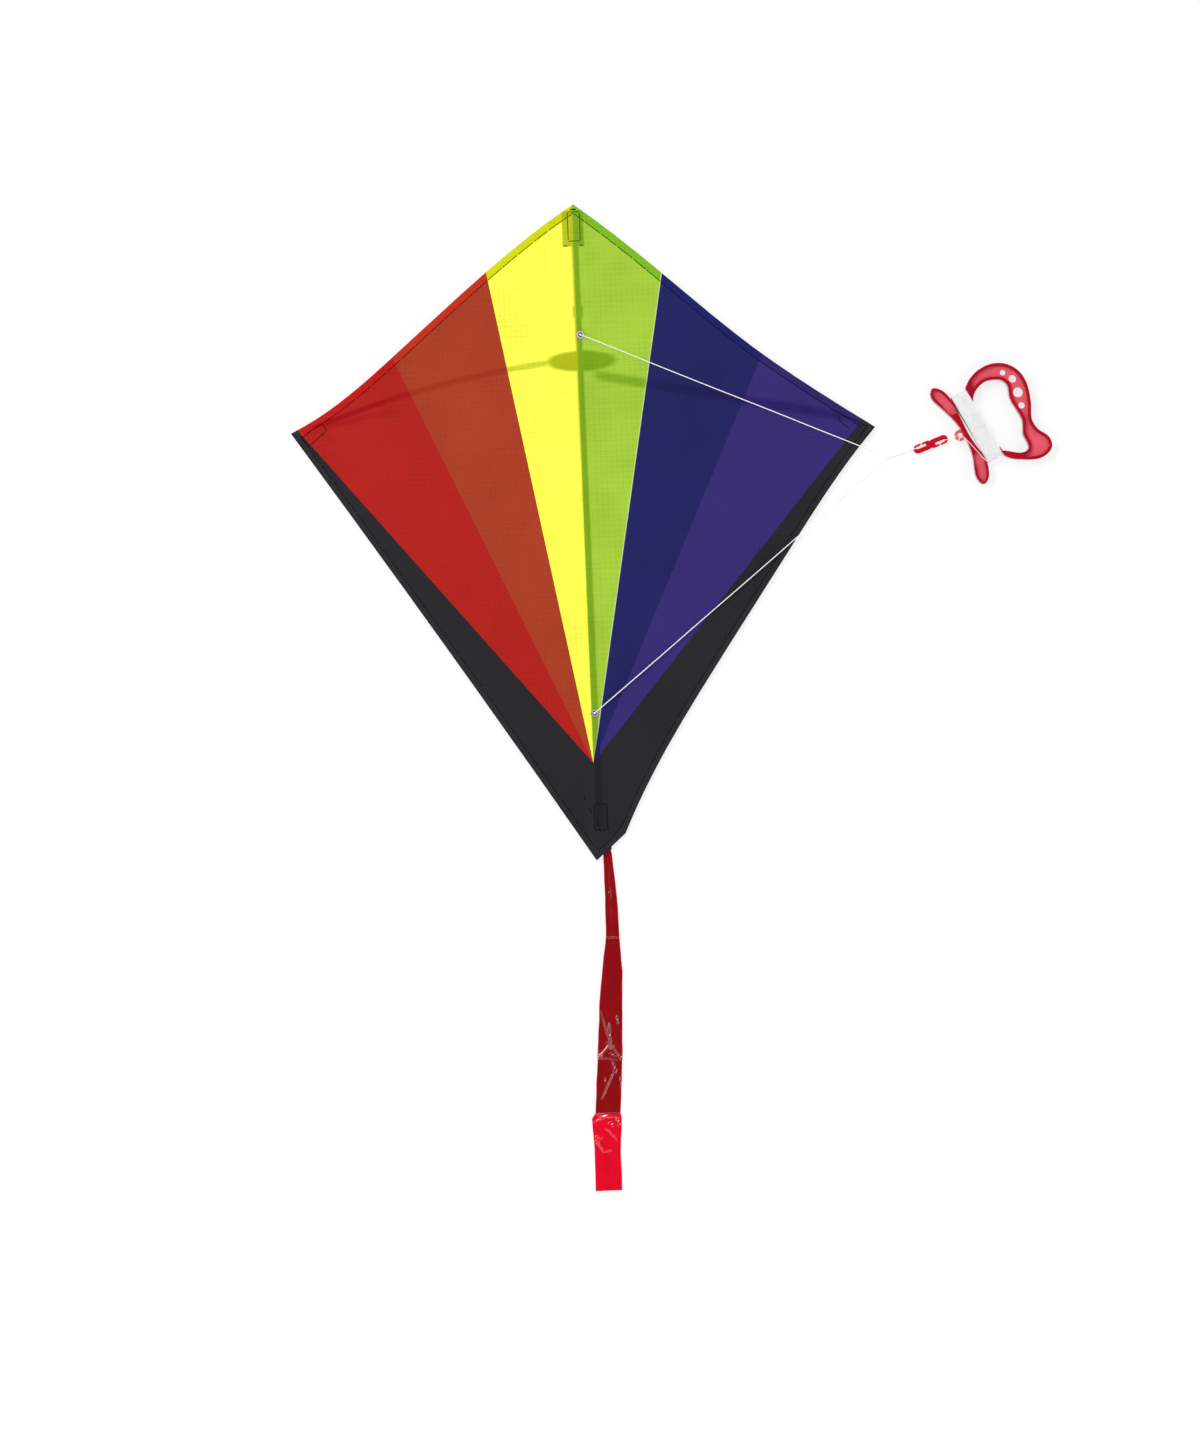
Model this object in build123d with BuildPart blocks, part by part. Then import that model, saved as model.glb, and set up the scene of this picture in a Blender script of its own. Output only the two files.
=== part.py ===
"""Diamond kite lying on its back: sail, frame, bridle, line clip, wound line handle and ribbon tail.

Millimetres, +Z up out of the decorated face. +Y runs along the spine to the nose and +X to the right.
The origin is on the ground under the crossing of spine and spar, at the flat back of the centre fitting.
"""
import os
from math import atan, cos, hypot, pi, radians, sin, tan

from build123d import *

os.makedirs("parts", exist_ok=True)

# ------------------------------------------------------------------ driving dimensions
# Sail outline
nose_y = 161.0
nose_x = -2.4
left_tip = (-302.0, -63.0)
right_tip = (300.0, -79.0)
tail_point = (-3.8, -514.7)
tail_corner = (26.8, -488.0)
sail_thickness = 0.5
tent_reach = 1.1             # how far the uncut cloth runs past the outline, as a share of it
# Each edge is a shallow curve: (share of the chord, how far the edge bows to the left of the chord)
left_leading_bow = [(0.32, -2.2), (0.65, 4.8), (0.87, 6.3)]
right_leading_bow = [(0.29, -2.4), (0.62, -8.3), (0.86, -4.3)]
left_trailing_bow = [(0.63, 1.7)]
right_trailing_bow = [(0.13, -6.5), (0.33, -9.0), (0.62, -10.9), (0.82, -9.4)]

# Spine, a straight rod under the ridge of the sail
spine_radius = 2.0
spine_nose_gap = 11.0        # from the tip of the nose back to the rod's end
spine_tail_gap = 33.0        # from the tail point forward to the rod's end
cap_wall = 0.5
cap_grip = 12.0              # length of rod inside each end cap
cap_end = 2.0                # closed end of each cap
cap_round = 1.0              # rounded rim of that end

# Spar, two rods that meet in a ferrule inside the centre fitting and bow back to the tips
spar_radius = 1.5
spar_z = 3.2
spar_straight = 34.0         # straight length each side of the middle
spar_joint_gap = 0.5         # each rod's end to the middle of the ferrule
left_spar_inset = (14.0, 1.5)    # from the tip in to the rod's end, and forward
right_spar_inset = (15.0, 4.5)
spar_cap_grip = 9.0          # length of spar inside each tip cap
ferrule_length = 62.0
ferrule_wall = 0.65

# Centre fitting, a lens-shaped moulding that the spine snaps into
fitting_half_length = 36.0
fitting_half_width = 10.5
fitting_roof = 0.9           # plastic between the ferrule and the spine's saddle
fitting_edge = 0.8           # rounding of its upper rim
saddle_width = 8.0
saddle_height = 3.0
saddle_mouth = 3.44          # opening that the spine snaps through

# Fits and clearances
slide_fit = 0.05             # radial, rods in caps and ferrule
bent_fit = 0.15              # radial, bowed spars in their straight caps
loose_fit = 0.1              # radial, spine in its saddle and caps under the cloth
cloth_gap = 0.1              # under the sail and over the pockets
tip_ease = 0.1               # extra room under the cloth at the tips
body_gap = 0.35              # between pieces that move past each other

# Pockets
pocket_wall = 0.4
pocket_room = 0.3            # between a cap and the pocket under it
nose_pocket_x = (-14.6, 7.5)
nose_pocket_y = (nose_y - 43.0, nose_y - 6.5)
tail_pocket_x = (-5.0, 9.2)
tail_pocket_y = (tail_point[1] + 30.2, tail_point[1] + 58.7)
tip_pocket_length = 20.0
tip_pocket_seam = 12.0       # width of the sewn flap on the inner side

# Eyelets and the ties that pass through them round the spine
upper_eyelet_y = 26.9
lower_eyelet_y = -362.8
eyelet_radius = 4.35
eyelet_hole = 2.35
eyelet_barrel = 0.35
eyelet_flange = 0.5
washer_thickness = 0.35
tie_cord = 1.0

# Bridle and flying line
bridle_cord = 1.0
flying_line = 0.6
leg_knot_lift = 5.4          # knot centre above the spine's centre line
leg_knot_radius = 1.4
tow_knot = (312.7, -111.2, 2.0)
tow_knot_radius = 1.9
leader_knot = (387.5, -91.1, 8.1)
leader_knot_radius = 1.3

# Line clip, a double open hook lying flat
clip_centre = (357.0, -99.0)
clip_angle = 20.0
clip_hook_reach = 14.0       # clip centre to the centre of each end's bend
clip_hook_shift = 0.3        # each hook off the long axis, to opposite sides
clip_hook_radius = 4.7
clip_hook_length = 11.0
clip_slot_reach = 14.3
clip_slot_shift = 1.6        # each slot off the long axis, so that the hook's free arm is thin
clip_slot_radius = 1.15
clip_slot_length = 8.6
clip_mouth = 1.1
clip_mouth_place = 9.0
clip_mouth_turn = -30.0
clip_thickness = 3.2

# Line handle
handle_origin = (391.0, -85.9)
handle_angle = 27.8
handle_height = 10.0
web_thickness = 3.6
rim_width = 3.2
arm_height = 4.0
arm_root = 1.2               # how far the arms run into the grip
upper_arm_y = (25.5, 33.4)
lower_arm_y = (-39.9, -34.0)
winding_x = (5.2, 22.8)
winding_depth = 2.5
winding_fit = 0.1
eye_centre = (-5.5, -3.0)
eye_radius = 5.9
eye_hole = 2.6
eye_height = 4.0
eye_slit = 1.2
eye_slit_angle = 225.0
grip_holes = [(64.7, 31.0, 2.9), (70.3, 20.6, 3.9), (68.2, 5.7, 5.0), (64.8, -7.8, 3.3)]
upper_lobe_recess = [
    (-8.2, 49.4), (-9.6, 45.6), (-7.2, 33.6), (-2.6, 19.5), (0.4, 19.0), (1.9, 34.5), (-0.2, 42.4),
    (-4.0, 48.2),
]
lower_lobe_recess = [
    (-9.4, -56.2), (-10.5, -50.4), (-7.2, -38.6), (-2.6, -27.0), (0.2, -26.0), (1.8, -41.2), (-0.6, -47.6),
    (-4.8, -54.4),
]
bar_outline = [
    (-8.5, 52.3), (-12.2, 46.5), (-9.6, 33.0), (-4.8, 18.0), (-2.3, 4.0), (-2.4, -10.0),
    (-4.6, -25.0), (-9.5, -38.5), (-13.0, -50.5), (-9.5, -58.9), (-3.4, -56.5), (1.8, -48.5),
    (4.1, -42.0), (3.0, -20.0), (2.9, 8.0), (4.1, 35.5), (2.2, 43.5), (-2.2, 50.3),
]
grip_outer = [
    (23.3, 36.6), (31.6, 42.5), (42.3, 45.9), (54.9, 45.7), (66.5, 41.3), (75.8, 32.1), (80.0, 22.0),
    (80.3, 9.6), (77.0, -2.9), (72.0, -14.3), (66.8, -24.0), (65.8, -31.0), (67.4, -39.0),
    (71.6, -46.7), (72.8, -53.5), (70.3, -60.2), (62.8, -64.5), (51.0, -63.8), (37.3, -56.6),
    (28.0, -50.0), (23.3, -43.6),
]
grip_inner = [
    (23.3, -38.2), (34.9, -46.9), (43.6, -50.9), (48.2, -49.9), (50.4, -44.6), (50.8, -34.9),
    (56.8, -22.8), (57.9, -12.5), (57.2, -0.7), (58.8, 8.6), (61.8, 16.5), (60.2, 23.6),
    (53.3, 29.0), (43.9, 32.0), (35.2, 30.6), (28.2, 26.9), (23.3, 20.5),
]

# Tail
tail_pivot = (tail_point[0] + 9.8, tail_point[1] + 12.7)
tail_tab_size = (12.0, 18.0)
tail_tab_corner = 2.0
tail_tab_margin = 3.4        # cloth past the middle of the tie
tail_tab_z = 3.1
tail_tab_thickness = 0.5
tail_tie_radius = 1.1
tail_tie_head = 2.4
tail_tie_head_height = 0.7
ribbon_thickness = 0.9
ribbon_gap = 0.3
ribbon_neck = 4.0            # half the gathered width at the tie
# The long ribbon's edges from its cut end up, measured from the tie; the short one starts higher
ribbon_left = [
    (-24.0, -354.5), (-23.6, -312.0), (-25.1, -279.3), (-21.3, -274.0), (-17.0, -218.5),
    (-12.7, -159.0), (-8.9, -128.0), (-3.5, -92.5), (-2.9, -53.0), (-3.0, -6.0),
]
ribbon_right = [
    (3.6, -354.5), (3.5, -312.0), (5.9, -279.3), (4.9, -274.0), (8.8, -218.5), (11.1, -159.0),
    (12.2, -129.0), (10.6, -93.0), (9.8, -53.0), (5.9, -6.0),
]
short_start = 3              # first edge point that the short ribbon has

# Cord routes, points chosen by hand
upper_leg_route = [
    (1.3, 26.3, 14.1), (38.0, 10.2, 12.5), (76.0, -6.8, 11.6), (134.0, -32.5, 10.6),
    (196.0, -59.4, 9.3), (250.0, -83.6, 8.3), (282.0, -97.4, 7.4), (299.0, -105.2, 4.3),
    (311.0, -110.5, 2.4),
]
lower_leg_route = [
    (1.1, -361.9, 9.8), (34.0, -335.6, 8.8), (72.0, -305.2, 8.5), (118.0, -268.0, 8.25),
    (168.0, -228.0, 7.9), (211.0, -193.2, 7.6), (231.0, -177.2, 5.6), (252.0, -160.0, 1.9),
    (274.0, -142.6, 0.75), (296.0, -124.6, 1.0), (311.2, -112.4, 1.7),
]
tow_loop_route = [
    (314.1, -110.6, 2.3), (322.0, -107.7, 3.0), (330.6, -105.4, 4.0), (337.2, -103.7, 5.45),
    (343.4, -102.2, 5.45), (343.4, -102.2, 0.55), (337.4, -104.6, 0.55), (329.6, -107.4, 0.6),
    (321.5, -109.8, 0.9), (314.3, -111.2, 1.8),
]
leader_route = [
    (386.9, -91.3, 7.95), (381.2, -92.4, 8.0), (376.0, -93.9, 5.3), (370.5, -95.7, 5.1),
    (370.5, -95.7, 0.9), (375.8, -94.6, 0.85), (381.2, -93.1, 1.6), (387.5, -91.5, 2.1),
    (387.9, -91.2, 6.6),
]
lead_route = [
    (388.9, -92.2, 8.0), (391.6, -94.6, 9.5), (395.6, -98.6, 10.8), (400.6, -104.4, 10.75),
    (406.0, -111.2, 10.8), (411.4, -117.6, 10.7), (415.0, -120.4, 10.1),
]

# ------------------------------------------------------------------ places worked out from them
cap_radius = spine_radius + cap_wall
spar_cap_radius = spar_radius + cap_wall
sail_lift = cap_radius + cloth_gap       # underside of the ridge above the spine's centre line
ferrule_bore = spar_radius + slide_fit
ferrule_radius = ferrule_bore + ferrule_wall
fitting_top = spar_z + ferrule_radius + slide_fit + fitting_roof
spine_mid_z = fitting_top + loose_fit + spine_radius
spine_nose_end = nose_y - spine_nose_gap
spine_tail_end = tail_point[1] + spine_tail_gap
spine_tail_z = pocket_wall + pocket_room + cap_radius
spine_slope = (spine_mid_z - spine_tail_z) / -spine_tail_end
spine_angle = atan(spine_slope)
spine_length = (spine_nose_end - spine_tail_end) / cos(spine_angle)
tip_under_z = spar_z + spar_cap_radius + pocket_wall + cloth_gap + tip_ease
pocket_reach = cap_radius + pocket_room


def spine_z(y):
    """Height of the spine's centre line."""
    return spine_mid_z + spine_slope * y


def spine_plane(y, lift=0.0):
    """A plane along the spine, facing up, its origin lifted off the centre line."""
    normal = Vector(0, -sin(spine_angle), cos(spine_angle))
    return Plane(origin=Vector(0, y, spine_z(y)) + normal * lift, x_dir=(1, 0, 0), z_dir=normal)


def aft_plane(y):
    """A plane square to the spine, facing the tail, with its own y axis up."""
    astern = (0, -cos(spine_angle), -sin(spine_angle))
    return Plane(origin=(0, y, spine_z(y)), x_dir=(1, 0, 0), z_dir=astern)


def bowed_edge(start, end, bows):
    """Points of a sail edge: shares of its chord, each moved square to the chord."""
    run_x = end[0] - start[0]
    run_y = end[1] - start[1]
    chord = hypot(run_x, run_y)
    points = [start]
    for share, bow in bows:
        points.append((start[0] + share * run_x - bow * run_y / chord,
                       start[1] + share * run_y + bow * run_x / chord))
    return points + [end]


def turned_bows(bows):
    """The same bows for an edge that is followed from its other end."""
    return [(1 - share, -bow) for share, bow in bows[::-1]]


def handle_point(x, y, z):
    """A place given in the line handle's own axes."""
    turn = radians(handle_angle)
    return (
        handle_origin[0] + x * cos(turn) - y * sin(turn),
        handle_origin[1] + x * sin(turn) + y * cos(turn),
        z,
    )


def inset(outline, distance):
    """The points of an outline moved to its right, square to the line between their neighbours."""
    moved = []
    for index, (x, y) in enumerate(outline):
        before = outline[max(index - 1, 0)]
        after = outline[min(index + 1, len(outline) - 1)]
        run_x = after[0] - before[0]
        run_y = after[1] - before[1]
        run = hypot(run_x, run_y)
        moved.append((x + distance * run_y / run, y - distance * run_x / run))
    return moved


def corner_radii(route):
    """The bend at each corner: 0.45 of the shorter run, over the tangent of half the turn."""
    places = [Vector(*point) for point in route]
    radii = []
    for before, corner, after in zip(places, places[1:], places[2:]):
        run_in = corner - before
        run_out = after - corner
        turn = radians(run_in.get_angle(run_out))
        radii.append(0.45 * min(run_in.length, run_out.length) / tan(turn / 2))
    return radii


def report_cord(label, route, diameter, path_length, volume):
    """Prints a cord's length, its volume over section times length, and its bends."""
    share = volume / (pi * diameter ** 2 / 4 * path_length)
    shown = ", ".join(f"{radius:.1f}" for radius in corner_radii(route))
    print(f"{label}: length {path_length:.1f} mm, volume share {share:.4f}, bends {shown}")


def save(builder, label):
    """Labels a finished piece and writes it."""
    builder.part.label = label
    export_step(builder.part, f"parts/{label}.step")


# ------------------------------------------------------------------ sail
nose = (nose_x, nose_y)
with BuildSketch() as sail_outline:
    with BuildLine():
        Spline(*bowed_edge(nose, left_tip, left_leading_bow))
        Spline(*bowed_edge(left_tip, tail_point, left_trailing_bow))
        Line(tail_point, tail_corner)
        Spline(*bowed_edge(tail_corner, right_tip, turned_bows(right_trailing_bow)))
        Spline(*bowed_edge(right_tip, nose, turned_bows(right_leading_bow)))
    make_face()

# The cloth is a shallow tent: level along the spine, and down to the spar's ends on both sides
left_fall = (spine_z(left_tip[1]) + sail_lift - tip_under_z) / -left_tip[0]
right_fall = (spine_z(right_tip[1]) + sail_lift - tip_under_z) / right_tip[0]
left_reach = tent_reach * left_tip[0]
right_reach = tent_reach * right_tip[0]
tent_front = tent_reach * nose_y
tent_length = tent_front - tent_reach * tail_point[1]
with BuildPart() as sail:
    with BuildSketch(aft_plane(tent_front)):
        with BuildLine():
            Polyline(
                (left_reach, sail_lift + left_fall * left_reach),
                (0, sail_lift),
                (right_reach, sail_lift - right_fall * right_reach),
                (right_reach, sail_lift + sail_thickness - right_fall * right_reach),
                (0, sail_lift + sail_thickness),
                (left_reach, sail_lift + sail_thickness + left_fall * left_reach),
                close=True,
            )
        make_face()
    extrude(amount=tent_length)
    extrude(sail_outline.sketch, amount=2 * spine_mid_z + sail_lift, mode=Mode.INTERSECT)
    for eyelet_y in (upper_eyelet_y, lower_eyelet_y):
        with BuildSketch(spine_plane(eyelet_y)):
            Circle(eyelet_hole + eyelet_barrel + slide_fit)
        extrude(amount=2 * sail_lift, mode=Mode.SUBTRACT)
save(sail, "sail")

# ------------------------------------------------------------------ spine and its end caps
with BuildPart() as spine_rod:
    with BuildSketch(aft_plane(spine_nose_end)):
        Circle(spine_radius)
    extrude(amount=spine_length)
save(spine_rod, "spine_rod")

for label, end_y, out in (("spine_nose_cap", spine_nose_end, -1), ("spine_tail_cap", spine_tail_end, 1)):
    with BuildPart() as spine_cap:
        with BuildSketch(aft_plane(end_y)):
            Circle(cap_radius)
        extrude(amount=out * cap_end)
        extrude(spine_cap.faces().sort_by(Axis.Y)[0 if out < 0 else -1], amount=cap_grip)
        rim = spine_cap.edges().filter_by(GeomType.CIRCLE).sort_by(Axis.Y)[-1 if out < 0 else 0]
        fillet(rim, cap_round)
        with BuildSketch(aft_plane(end_y)):
            Circle(spine_radius + slide_fit)
        extrude(amount=-out * (cap_grip + cap_end), mode=Mode.SUBTRACT)
    save(spine_cap, label)

# ------------------------------------------------------------------ spar halves, ferrule and end caps
left_spar_end = (left_tip[0] + left_spar_inset[0], left_tip[1] + left_spar_inset[1])
right_spar_end = (right_tip[0] - right_spar_inset[0], right_tip[1] + right_spar_inset[1])
spar_planes = {}
for label, side, end in (("left_spar", -1, left_spar_end), ("right_spar", 1, right_spar_end)):
    with BuildPart() as spar:
        with BuildLine(Plane.XY.offset(spar_z)):
            straight = Line((side * spar_joint_gap, 0), (side * spar_straight, 0))
            bow = TangentArc(straight @ 1, end, tangent=straight % 1)
        with BuildSketch(Plane(origin=(side * spar_joint_gap, 0, spar_z), z_dir=(side, 0, 0))):
            Circle(spar_radius)
        sweep()
    save(spar, label)
    outward = bow % 1
    spar_planes[label] = Plane(origin=(*end, spar_z), x_dir=(-outward.Y, outward.X, 0), z_dir=outward)

with BuildPart() as spar_ferrule:
    with BuildSketch(Plane.YZ.offset(-ferrule_length / 2)):
        with Locations((0, spar_z)):
            Circle(ferrule_radius)
            Circle(ferrule_bore, mode=Mode.SUBTRACT)
    extrude(amount=ferrule_length)
save(spar_ferrule, "spar_ferrule")

for label, spar_name in (("left_spar_cap", "left_spar"), ("right_spar_cap", "right_spar")):
    end_plane = spar_planes[spar_name]
    with BuildPart() as spar_cap:
        with BuildSketch(end_plane.offset(-spar_cap_grip)):
            Circle(spar_cap_radius)
        extrude(amount=spar_cap_grip + cap_end)
        closed_end = spar_cap.faces().sort_by(Axis(end_plane.origin, end_plane.z_dir))[-1]
        fillet(closed_end.edges(), cap_round)
        with BuildSketch(end_plane):
            Circle(spar_radius + bent_fit)
        extrude(amount=-spar_cap_grip, mode=Mode.SUBTRACT)
    save(spar_cap, label)

# ------------------------------------------------------------------ centre fitting
with BuildPart() as centre_fitting:
    with BuildSketch():
        Ellipse(fitting_half_length, fitting_half_width)
    extrude(amount=fitting_top)
    fillet(centre_fitting.faces().sort_by(Axis.Z)[-1].edges(), fitting_edge)
    with BuildSketch(Plane.XZ.offset(fitting_half_width - fitting_edge)):
        with Locations((0, fitting_top - fitting_roof / 2)):
            Rectangle(saddle_width, saddle_height + fitting_roof / 2, align=(Align.CENTER, Align.MIN))
    extrude(amount=-2 * (fitting_half_width - fitting_edge))
    with BuildSketch(aft_plane(fitting_half_width)):
        Circle(spine_radius + loose_fit)
        with Locations((0, saddle_height)):
            Rectangle(saddle_mouth, 2 * saddle_height)
    extrude(amount=2 * fitting_half_width, mode=Mode.SUBTRACT)
    with BuildSketch(Plane.YZ.offset(-fitting_half_length)):
        with Locations((0, spar_z)):
            Circle(ferrule_radius + slide_fit)
    extrude(amount=2 * fitting_half_length, mode=Mode.SUBTRACT)
save(centre_fitting, "centre_fitting")

# ------------------------------------------------------------------ pockets sewn behind the sail
for label, pocket_x, pocket_y in (
    ("nose_pocket", nose_pocket_x, nose_pocket_y),
    ("tail_pocket", tail_pocket_x, tail_pocket_y),
):
    flap_top = sail_lift - cloth_gap - left_fall * pocket_reach
    left_top = sail_lift - cloth_gap + left_fall * pocket_x[0]
    right_top = sail_lift - cloth_gap - right_fall * pocket_x[1]
    with BuildPart() as pocket:
        with BuildSketch(aft_plane(pocket_y[1])):
            with BuildLine():
                Polyline(
                    (pocket_x[0], left_top), (-pocket_reach, flap_top), (-pocket_reach, -pocket_reach),
                    (pocket_reach, -pocket_reach), (pocket_reach, flap_top), (pocket_x[1], right_top),
                    (pocket_x[1], right_top - pocket_wall),
                    (pocket_reach + pocket_wall, flap_top - pocket_wall),
                    (pocket_reach + pocket_wall, -pocket_reach - pocket_wall),
                    (-pocket_reach - pocket_wall, -pocket_reach - pocket_wall),
                    (-pocket_reach - pocket_wall, flap_top - pocket_wall),
                    (pocket_x[0], left_top - pocket_wall), close=True,
                )
            make_face()
        extrude(amount=pocket_y[1] - pocket_y[0])
    save(pocket, label)

for label, spar_name, side in (("left_tip_pocket", "left_spar", -1), ("right_tip_pocket", "right_spar", 1)):
    room = spar_cap_radius + pocket_room
    top = spar_cap_radius + pocket_wall - cloth_gap
    inner = side * (room + pocket_wall + tip_pocket_seam)
    edge = -side * (room + pocket_wall)
    with BuildPart() as pocket:
        with BuildSketch(spar_planes[spar_name].offset(-tip_pocket_length + cap_end)):
            with BuildLine():
                Polyline(
                    (edge, top), (-side * room, top), (-side * room, pocket_wall - spar_z),
                    (side * room, pocket_wall - spar_z), (side * room, top), (inner, top),
                    (inner, top - pocket_wall), (side * (room + pocket_wall), top - pocket_wall),
                    (side * (room + pocket_wall), -spar_z), (edge, -spar_z), close=True,
                )
            make_face()
        extrude(amount=tip_pocket_length)
        extrude(sail_outline.sketch, amount=2 * spar_z + top, mode=Mode.INTERSECT)
    save(pocket, label)

# ------------------------------------------------------------------ eyelets, their washers and the cord ties
sail_top = sail_lift + sail_thickness
for place, eyelet_y in (("upper", upper_eyelet_y), ("lower", lower_eyelet_y)):
    with BuildPart() as eyelet:
        with BuildSketch(spine_plane(eyelet_y, sail_lift)):
            Circle(eyelet_hole + eyelet_barrel)
        extrude(amount=sail_thickness + slide_fit)
        with BuildSketch(spine_plane(eyelet_y, sail_top + slide_fit)):
            Circle(eyelet_radius)
        extrude(amount=eyelet_flange)
        fillet(eyelet.faces().sort_by(Axis.Z)[-1].edges(), eyelet_flange / 2)
        with BuildSketch(spine_plane(eyelet_y)):
            Circle(eyelet_hole)
        extrude(amount=2 * sail_top, mode=Mode.SUBTRACT)
    save(eyelet, f"{place}_eyelet")

    with BuildPart() as washer:
        with BuildSketch(spine_plane(eyelet_y, sail_lift - cloth_gap - washer_thickness)):
            Circle(eyelet_radius)
            Circle(eyelet_hole, mode=Mode.SUBTRACT)
        extrude(amount=washer_thickness)
    save(washer, f"{place}_eyelet_washer")

    with BuildPart(aft_plane(eyelet_y)) as tie:
        Torus(spine_radius + loose_fit + tie_cord / 2, tie_cord / 2)
    save(tie, f"{place}_bridle_tie")

# ------------------------------------------------------------------ bridle and line: knots, then the cords
for place, eyelet_y in (("upper", upper_eyelet_y), ("lower", lower_eyelet_y)):
    with BuildPart(spine_plane(eyelet_y, leg_knot_lift)) as leg_knot:
        Sphere(leg_knot_radius)
    save(leg_knot, f"{place}_leg_knot")

for label, place, radius in (
    ("tow_knot", tow_knot, tow_knot_radius),
    ("leader_knot", leader_knot, leader_knot_radius),
):
    with BuildPart(Plane(origin=place)) as knot:
        Sphere(radius)
    save(knot, label)

cords = (
    ("upper_bridle_leg", upper_leg_route, bridle_cord),
    ("lower_bridle_leg", lower_leg_route, bridle_cord),
    ("tow_loop", tow_loop_route, bridle_cord),
    ("clip_leader", leader_route, flying_line),
    ("line_lead", lead_route, flying_line),
)
for label, route, diameter in cords:
    with BuildPart() as cord:
        with BuildLine():
            cord_path = FilletPolyline(*route, radius=corner_radii(route))
        with BuildSketch(Plane(origin=cord_path @ 0, z_dir=cord_path % 0)):
            Circle(diameter / 2)
        sweep(path=cord_path)
    report_cord(label, route, diameter, cord_path.length, cord.part.volume)
    save(cord, label)

# ------------------------------------------------------------------ line clip
clip_under = bridle_cord + body_gap + slide_fit
clip_plane = Plane(origin=(*clip_centre, clip_under)).rotated((0, 0, clip_angle))
hook_middle = clip_hook_reach - clip_hook_length / 2
slot_middle = clip_slot_reach - clip_slot_length / 2
with BuildPart() as line_clip:
    with BuildSketch(clip_plane):
        for side in (-1, 1):
            with Locations((side * hook_middle, -side * clip_hook_shift)):
                SlotCenterToCenter(clip_hook_length, 2 * clip_hook_radius)
    extrude(amount=clip_thickness)
    with BuildSketch(clip_plane):
        for side in (-1, 1):
            with Locations((side * slot_middle, -side * clip_slot_shift)):
                SlotCenterToCenter(clip_slot_length, 2 * clip_slot_radius)
            with Locations((side * clip_mouth_place, -side * (clip_slot_shift + clip_hook_radius / 2))):
                Rectangle(clip_mouth, clip_hook_radius, rotation=clip_mouth_turn)
    extrude(amount=clip_thickness, mode=Mode.SUBTRACT)
save(line_clip, "line_clip")

# ------------------------------------------------------------------ line handle
handle_plane = Plane(origin=(*handle_origin, 0)).rotated((0, 0, handle_angle))
web_under = (handle_height - web_thickness) / 2
arm_under = (handle_height - arm_height) / 2
eye_under = (handle_height - eye_height) / 2

with BuildSketch() as bar_face:
    with BuildLine():
        Spline(*bar_outline, periodic=True)
    make_face()
with BuildSketch() as grip_face:
    with BuildLine():
        outer = Spline(*grip_outer)
        Line(outer @ 1, grip_inner[0])
        Spline(*grip_inner)
        Line(grip_inner[-1], outer @ 0)
    make_face()
with BuildSketch() as lobe_recesses:
    for outline in (upper_lobe_recess, lower_lobe_recess):
        with BuildLine():
            Spline(*outline, periodic=True)
        make_face()
with BuildSketch() as grip_recess:
    with BuildLine():
        outer = Spline(*inset(grip_outer, rim_width)[1:-2])
        inner = Spline(*inset(grip_inner, rim_width)[2:-1])
        Line(outer @ 1, inner @ 0)
        Line(inner @ 1, outer @ 0)
    make_face()

with BuildPart() as winder_handle:
    for outline in (bar_face.sketch, grip_face.sketch):
        with BuildSketch(handle_plane):
            add(outline)
        extrude(amount=handle_height)
    for recess in (lobe_recesses.sketch, grip_recess.sketch):
        for floor in (0.0, handle_height - web_under):
            with BuildSketch(handle_plane.offset(floor)):
                add(recess)
            extrude(amount=web_under, mode=Mode.SUBTRACT)
    arm_length = grip_outer[0][0] + arm_root
    for arm_y in (upper_arm_y, lower_arm_y):
        with BuildSketch(handle_plane.offset(arm_under)):
            with Locations((0, arm_y[0])):
                Rectangle(arm_length, arm_y[1] - arm_y[0], align=(Align.MIN, Align.MIN))
        extrude(amount=arm_height)
    with BuildSketch(handle_plane.offset(eye_under)):
        with Locations(eye_centre):
            Circle(eye_radius)
    extrude(amount=eye_height)
    with BuildSketch(handle_plane):
        with Locations(eye_centre):
            Circle(eye_hole)
            with PolarLocations(0, 1, start_angle=eye_slit_angle):
                Rectangle(eye_radius + 1, eye_slit, align=(Align.MIN, Align.CENTER))
        for hole_x, hole_y, hole_radius in grip_holes:
            with Locations((hole_x, hole_y)):
                Circle(hole_radius)
    extrude(amount=handle_height, mode=Mode.SUBTRACT)
save(winder_handle, "winder_handle")

# ------------------------------------------------------------------ line wound round both arms of the handle
hole_y = (lower_arm_y[0] - winding_fit, upper_arm_y[1] + winding_fit)
hole_width = hole_y[1] - hole_y[0]
hole_height = arm_height + 2 * winding_fit
winding_plane = Plane(
    origin=handle_point(winding_x[0], (hole_y[0] + hole_y[1]) / 2, handle_height / 2),
    x_dir=handle_plane.y_dir,
    z_dir=handle_plane.x_dir,
)
with BuildPart() as line_winding:
    with BuildSketch(winding_plane):
        RectangleRounded(hole_width + 2 * winding_depth, hole_height + 2 * winding_depth, winding_depth)
        Rectangle(hole_width, hole_height, mode=Mode.SUBTRACT)
    extrude(amount=winding_x[1] - winding_x[0])
save(line_winding, "line_winding")

# ------------------------------------------------------------------ tail: tab, tie and two ribbons
with BuildPart() as tail_tab:
    with BuildSketch(Plane.XY.offset(tail_tab_z)):
        with Locations((tail_pivot[0], tail_pivot[1] + tail_tab_size[1] / 2 - tail_tab_margin)):
            RectangleRounded(*tail_tab_size, tail_tab_corner)
        with Locations(tail_pivot):
            Circle(tail_tie_radius + body_gap, mode=Mode.SUBTRACT)
    extrude(amount=tail_tab_thickness)
save(tail_tab, "tail_tab")

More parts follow.
